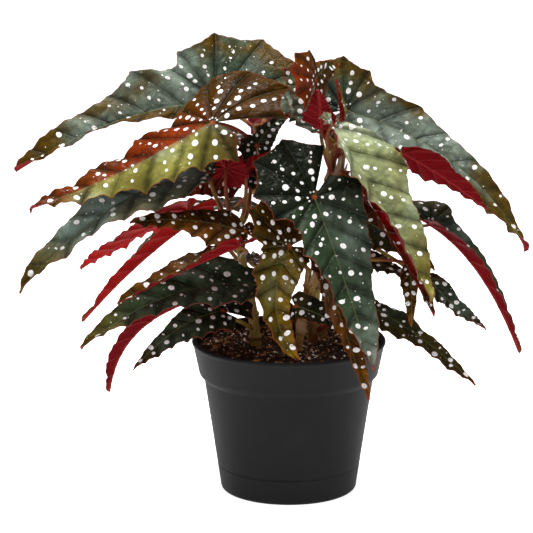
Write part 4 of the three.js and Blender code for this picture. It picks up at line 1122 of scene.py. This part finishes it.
# %% Soil body
POT_WALL = 1.6
BAND_WALL = 2.5
POT_FLOOR = 2.4
FOOT_RADIUS = 59.8
FOOT_ROUND = 3.5
NECK_RADIUS = 74.2
NECK_HEIGHT = 100.0
BAND_FOOT_RADIUS = 78.7
BAND_FOOT_HEIGHT = 106.0
LIP_RADIUS = 85.0
LIP_BEAD = 2.2
POT_HEIGHT = 135.0
SOIL_EDGE_HEIGHT = 127.0
SOIL_MOUND = 4.0
SOIL_GAP = 0.6
SOIL_SIDES = 120
SOIL_RINGS = 46
SOIL_WAVES = ((34, 0.9), (19, 0.7), (11, 0.5), (6.3, 0.35), (4.1, 0.25))
inner_foot = BAND_FOOT_RADIUS - BAND_WALL
inner_lip = LIP_RADIUS - 2 * LIP_BEAD
rise_share = (SOIL_EDGE_HEIGHT - BAND_FOOT_HEIGHT) / (POT_HEIGHT - 2 * LIP_BEAD - BAND_FOOT_HEIGHT)
SOIL_RADIUS = inner_foot + (inner_lip - inner_foot) * rise_share - SOIL_GAP


def soil_height(x, y):
    """A low mound, with lumps from a sum of sine waves that cross at odd angles."""
    share = np.hypot(x, y) / SOIL_RADIUS
    lumps = np.zeros_like(x)
    for k, (wave, size) in enumerate(SOIL_WAVES):
        turn = 2.4 * k
        along, across = x * math.cos(turn) + y * math.sin(turn), y * math.cos(turn) - x * math.sin(turn)
        lumps = lumps + size * np.sin(2 * np.pi * along / wave + k)
        lumps = lumps + size * 0.8 * np.sin(2 * np.pi * across / wave * 1.3)
    return SOIL_EDGE_HEIGHT + SOIL_MOUND * (1 - share ** 2) + lumps * 0.75 * smooth(1.0, 0.93, share)


def lathe_faces(count, sides):
    """Quads between rings that run from one pole to the other, whose end rings are single points."""
    ring, quads = ring_quads(count, sides, 1)
    first = np.stack([np.zeros(sides, int), np.roll(ring[0], -1), ring[0]], -1)
    last = np.stack([np.full(sides, count * sides + 1), ring[-1], np.roll(ring[-1], -1)], -1)
    return first.tolist() + quads.tolist() + last.tolist()


def make_soil():
    """Rings up the inside of the pot, then in over the top to the middle."""
    turn = round_turn(SOIL_SIDES)
    foot = (FOOT_RADIUS - FOOT_ROUND - 0.6, POT_FLOOR + 0.3)
    wall = [foot, (FOOT_RADIUS - POT_WALL - 0.9, FOOT_ROUND + 0.3),
            (NECK_RADIUS - POT_WALL - 0.8, NECK_HEIGHT), (inner_foot - 0.8, BAND_FOOT_HEIGHT)]
    tops = SOIL_RADIUS * np.linspace(1, 0.02, SOIL_RINGS)
    x = np.concatenate([[r * np.cos(turn) for r, _ in wall], tops[:, None] * np.cos(turn)])
    y = np.concatenate([[r * np.sin(turn) for r, _ in wall], tops[:, None] * np.sin(turn)])
    z = np.concatenate([[np.full(SOIL_SIDES, h) for _, h in wall], soil_height(x[4:], y[4:])])
    middle = soil_height(np.zeros(1), np.zeros(1))[0]
    body = np.concatenate([[(0, 0, wall[0][1])], np.stack([x, y, z], -1).reshape(-1, 3), [(0, 0, middle)]])
    faces = lathe_faces(len(z), SOIL_SIDES)
    piece = new_mesh("potting_soil", body, faces, [SOIL_FINISH], [0] * len(faces))
    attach(piece, "root")
    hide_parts("soil")


make_soil()
print("soil radius", round(SOIL_RADIUS, 1), "mm")

# %% [markdown]
# The crumbs lie half sunk on the soil, thickly enough to hide it: dark peat, brown and tan bark, and a few
# white grains. One seed decides them all, so they fall the same way each time.

# %% Loose crumbs
CRUMB_COUNT = 2300
CRUMB_SEED = 41
CRUMB_SHARES = [0.36, 0.30, 0.19, 0.15]
CRUMB_SIZES = np.array([1.0, 1.1, 1.3, 0.8])
GOLDEN = (1 + 5 ** 0.5) / 2
CRUMB_TONES = np.array([(0.018, 0.009, 0.005), (0.065, 0.026, 0.009), (0.26, 0.12, 0.045),
                        (0.72, 0.66, 0.56)])


def make_crumbs():
    """Icosahedra with jittered corners, laid on the soil: most are dark, some are bark, a few are perlite."""
    rng = np.random.RandomState(CRUMB_SEED)
    base = []
    for one in (-1, 1):
        for other in (-GOLDEN, GOLDEN):
            base += [(0, one, other), (one, other, 0), (other, 0, one)]
    base = unit(np.array(base, float))
    gaps = np.linalg.norm(base[:, None] - base[None], axis=-1)
    near = gaps < 1.2
    trios = [(i, j, k) for i in range(12) for j in range(i + 1, 12) for k in range(j + 1, 12)
             if near[i, j] and near[j, k] and near[i, k]]
    trios = np.array([t if np.linalg.det(base[list(t)]) > 0 else t[::-1] for t in trios])
    radius = SOIL_RADIUS * 0.985 * np.sqrt(rng.uniform(0, 1, CRUMB_COUNT))
    turn = rng.uniform(0, 2 * np.pi, CRUMB_COUNT)
    x, y = radius * np.cos(turn), radius * np.sin(turn)
    kind = rng.choice(4, CRUMB_COUNT, p=CRUMB_SHARES)
    size = rng.uniform(0.5, 1.5, CRUMB_COUNT) * CRUMB_SIZES[kind]
    stretch = np.stack([rng.uniform(0.8, 1.9, CRUMB_COUNT), rng.uniform(0.6, 1.1, CRUMB_COUNT),
                        rng.uniform(0.4, 0.9, CRUMB_COUNT)], -1) * size[:, None]
    stone = base * stretch[:, None] * rng.uniform(0.78, 1.2, (CRUMB_COUNT, 12, 1))
    spin, tip = rng.uniform(0, 2 * np.pi, CRUMB_COUNT), rng.uniform(-0.5, 0.5, CRUMB_COUNT)
    c, s = np.cos(tip)[:, None], np.sin(tip)[:, None]
    tipped, up = stone[..., 0] * c - stone[..., 2] * s, stone[..., 0] * s + stone[..., 2] * c
    c, s = np.cos(spin)[:, None], np.sin(spin)[:, None]
    stone = np.stack([tipped * c - stone[..., 1] * s, tipped * s + stone[..., 1] * c, up], -1)
    lift = stretch[:, 2] * 0.5
    stone = stone + np.stack([x, y, soil_height(x, y) + lift], -1)[:, None]
    faces = (trios[None] + 12 * np.arange(CRUMB_COUNT)[:, None, None]).reshape(-1, 3)
    piece = new_mesh("soil_crumbs", stone.reshape(-1, 3), faces.tolist(), [CRUMB_FINISH], [0] * len(faces),
                     False)
    tones = CRUMB_TONES[kind] * rng.uniform(0.7, 1.25, (CRUMB_COUNT, 1))
    colours_on(piece.data, "tone", np.repeat(tones, 12, 0))
    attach(piece, "root")


make_crumbs()
print("crumbs:", CRUMB_COUNT)

# %% [markdown]
# ## Pot
#
# A moulded nursery pot is turned: one profile carried round the axis. Its plastic is matte charcoal with a
# fine grain from the mould, faint streaks down the wall and a little pale dust.

# %% Pot finish
def pot_finish():
    """Charcoal plastic: a fine leathery grain in the bump, faint streaks down the wall and a paler dust."""
    pot = Finish("charcoal_plastic")
    grain = pot.noise(1900.0, 2.0)
    cells = pot.cells(pot.place, 1500.0, "F1")
    streaks = pot.noise(55.0, 3.0, 0.12)
    dust = pot.noise(24.0, 4.0)
    colour = pot.lay((0.006, 0.006, 0.0065), (0.011, 0.011, 0.0115), dust, 0.45, 0.8, 0.5)
    colour = pot.tint(colour, 0.9 + 0.2 * streaks)
    return pot.done(colour, 0.52 + 0.10 * streaks + 0.08 * dust, 0.12, grain * 0.5 + cells * 0.5, 0.00025)


# %% [markdown]
# The profile goes from the middle of the underside up the wall, past a seam line and the step of the band,
# over the rolled lip and down the inside. Six drain holes are cut through the floor with a Boolean, as a
# mould's pins leave them.

# %% Make the pot
SEAM_HEIGHT = 23.0
SEAM_DEPTH = 0.3
DRAIN_HOLES = 6
DRAIN_RADIUS = 4.0
DRAIN_CIRCLE = 38.0
DRAIN_SIDES = 28
POT_SIDES = 144
CREASE_ANGLE = math.radians(32)


def arc(centre, radius, start, stop, count=9):
    """Points of an arc in the profile's plane, angles in degrees from the outward direction."""
    turn = np.radians(np.linspace(start, stop, count))
    return np.stack([centre[0] + radius * np.cos(turn), centre[1] + radius * np.sin(turn)], -1)


def pot_profile():
    """Radius and height from the underside's middle, up the outside, over the lip and down the inside."""
    slope = (NECK_RADIUS - FOOT_RADIUS) / (NECK_HEIGHT - FOOT_ROUND)
    seam = FOOT_RADIUS + slope * (SEAM_HEIGHT - FOOT_ROUND)
    flat = FOOT_RADIUS - FOOT_ROUND
    bead = LIP_BEAD / 2
    parts = [
        [(0.5, 0), (DRAIN_CIRCLE - 8, 0), (DRAIN_CIRCLE + 8, 0), (flat - 1, 0)],
        arc((flat, FOOT_ROUND), FOOT_ROUND, -90, 0, 13),
        [(seam - slope, SEAM_HEIGHT - 1.2), (seam, SEAM_HEIGHT - SEAM_DEPTH)],
        [(seam - SEAM_DEPTH, SEAM_HEIGHT), (seam, SEAM_HEIGHT + SEAM_DEPTH)],
        [(seam + slope, SEAM_HEIGHT + 1.3)],
        [(NECK_RADIUS - slope, NECK_HEIGHT - 1)],
        [(NECK_RADIUS, NECK_HEIGHT), (NECK_RADIUS + 1.2, NECK_HEIGHT + 1.2)],
        [(BAND_FOOT_RADIUS - 2.4, BAND_FOOT_HEIGHT - 3.4), (BAND_FOOT_RADIUS - 0.7, BAND_FOOT_HEIGHT - 1.7)],
        [(BAND_FOOT_RADIUS, BAND_FOOT_HEIGHT), (BAND_FOOT_RADIUS + 0.25, BAND_FOOT_HEIGHT + 1.2)],
        [(LIP_RADIUS - bead - 0.2, POT_HEIGHT - 2 * LIP_BEAD - 0.6)],
        arc((LIP_RADIUS - LIP_BEAD, POT_HEIGHT - LIP_BEAD), LIP_BEAD, -50, 180, 19),
        [(LIP_RADIUS - 2 * LIP_BEAD, POT_HEIGHT - 2 * LIP_BEAD)],
        [(BAND_FOOT_RADIUS - BAND_WALL, BAND_FOOT_HEIGHT), (NECK_RADIUS - POT_WALL, NECK_HEIGHT)],
        [(FOOT_RADIUS - POT_WALL, FOOT_ROUND), (flat, POT_FLOOR), (DRAIN_CIRCLE + 8, POT_FLOOR)],
        [(DRAIN_CIRCLE - 8, POT_FLOOR), (0.5, POT_FLOOR)],
    ]
    return np.concatenate([np.asarray(part, float) for part in parts])


def make_pot():
    """The profile turned in equal steps, closed on the axis at both ends, less the drain holes."""
    profile = pot_profile()
    turn = round_turn(POT_SIDES)
    rings = np.stack([profile[:, :1] * np.cos(turn), profile[:, :1] * np.sin(turn),
                      np.repeat(profile[:, 1:], POT_SIDES, 1)], -1)
    points = np.concatenate([[(0, 0, profile[0, 1])], rings.reshape(-1, 3), [(0, 0, profile[-1, 1])]])
    faces = lathe_faces(len(profile), POT_SIDES)
    piece = new_mesh("nursery_pot", points, faces, [pot_finish()], [0] * len(faces))
    holes, hole_faces = [], []
    for k in range(DRAIN_HOLES):
        angle = 2 * math.pi * k / DRAIN_HOLES
        middle = np.array([DRAIN_CIRCLE * math.cos(angle), DRAIN_CIRCLE * math.sin(angle), 0])
        path = middle + np.array([(0, 0, -2.0), (0, 0, 6.0)])
        holes.append(tube_grid(path, np.full(2, DRAIN_RADIUS), (1, 0, 0), DRAIN_SIDES))
        quads, caps = tube_faces(2, DRAIN_SIDES, 2 * DRAIN_SIDES * k)
        hole_faces += quads.tolist() + caps
    cutter = new_mesh("drain_pins", np.concatenate([h.reshape(-1, 3) for h in holes]), hole_faces, [],
                      [0] * len(hole_faces), False)
    cut = piece.modifiers.new("drain", "BOOLEAN")
    cut.object = cutter
    cut.solver = "EXACT"
    graph = bpy.context.evaluated_depsgraph_get()
    cut_mesh = bpy.data.meshes.new_from_object(piece.evaluated_get(graph))
    piece.modifiers.clear()
    piece.data = cut_mesh
    bpy.data.objects.remove(cutter)
    cut_mesh.polygons.foreach_set("use_smooth", np.full(len(cut_mesh.polygons), True))
    cut_mesh.set_sharp_from_angle(angle=CREASE_ANGLE)
    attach(piece, "root")
    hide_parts("pot")
    return piece


pot_piece = make_pot()
print("pot faces:", len(pot_piece.data.polygons))

# %% [markdown]
# ## Floor and finish
#
# The floor is a plain pale sheet under the pot, wide enough to have no edge in the picture.

# %% Floor
FLOOR_GLOW = 0.80
FLOOR_REACH = 9000
floor_finish = Finish("pale_floor")
floor_finish.done(floor_finish.tint((0.93, 0.93, 0.93), 0.985 + 0.03 * floor_finish.noise(8.0, 2.0)), 0.8)
floor_finish.shader.inputs["Emission Color"].default_value = (1.0, 1.0, 1.0, 1.0)
floor_finish.shader.inputs["Emission Strength"].default_value = FLOOR_GLOW
floor_corners = np.array([(-1, -1, 0), (1, -1, 0), (1, 1, 0), (-1, 1, 0)], float) * FLOOR_REACH
floor = new_mesh("floor", floor_corners, [(0, 1, 2, 3)], [floor_finish.material], [0], False)
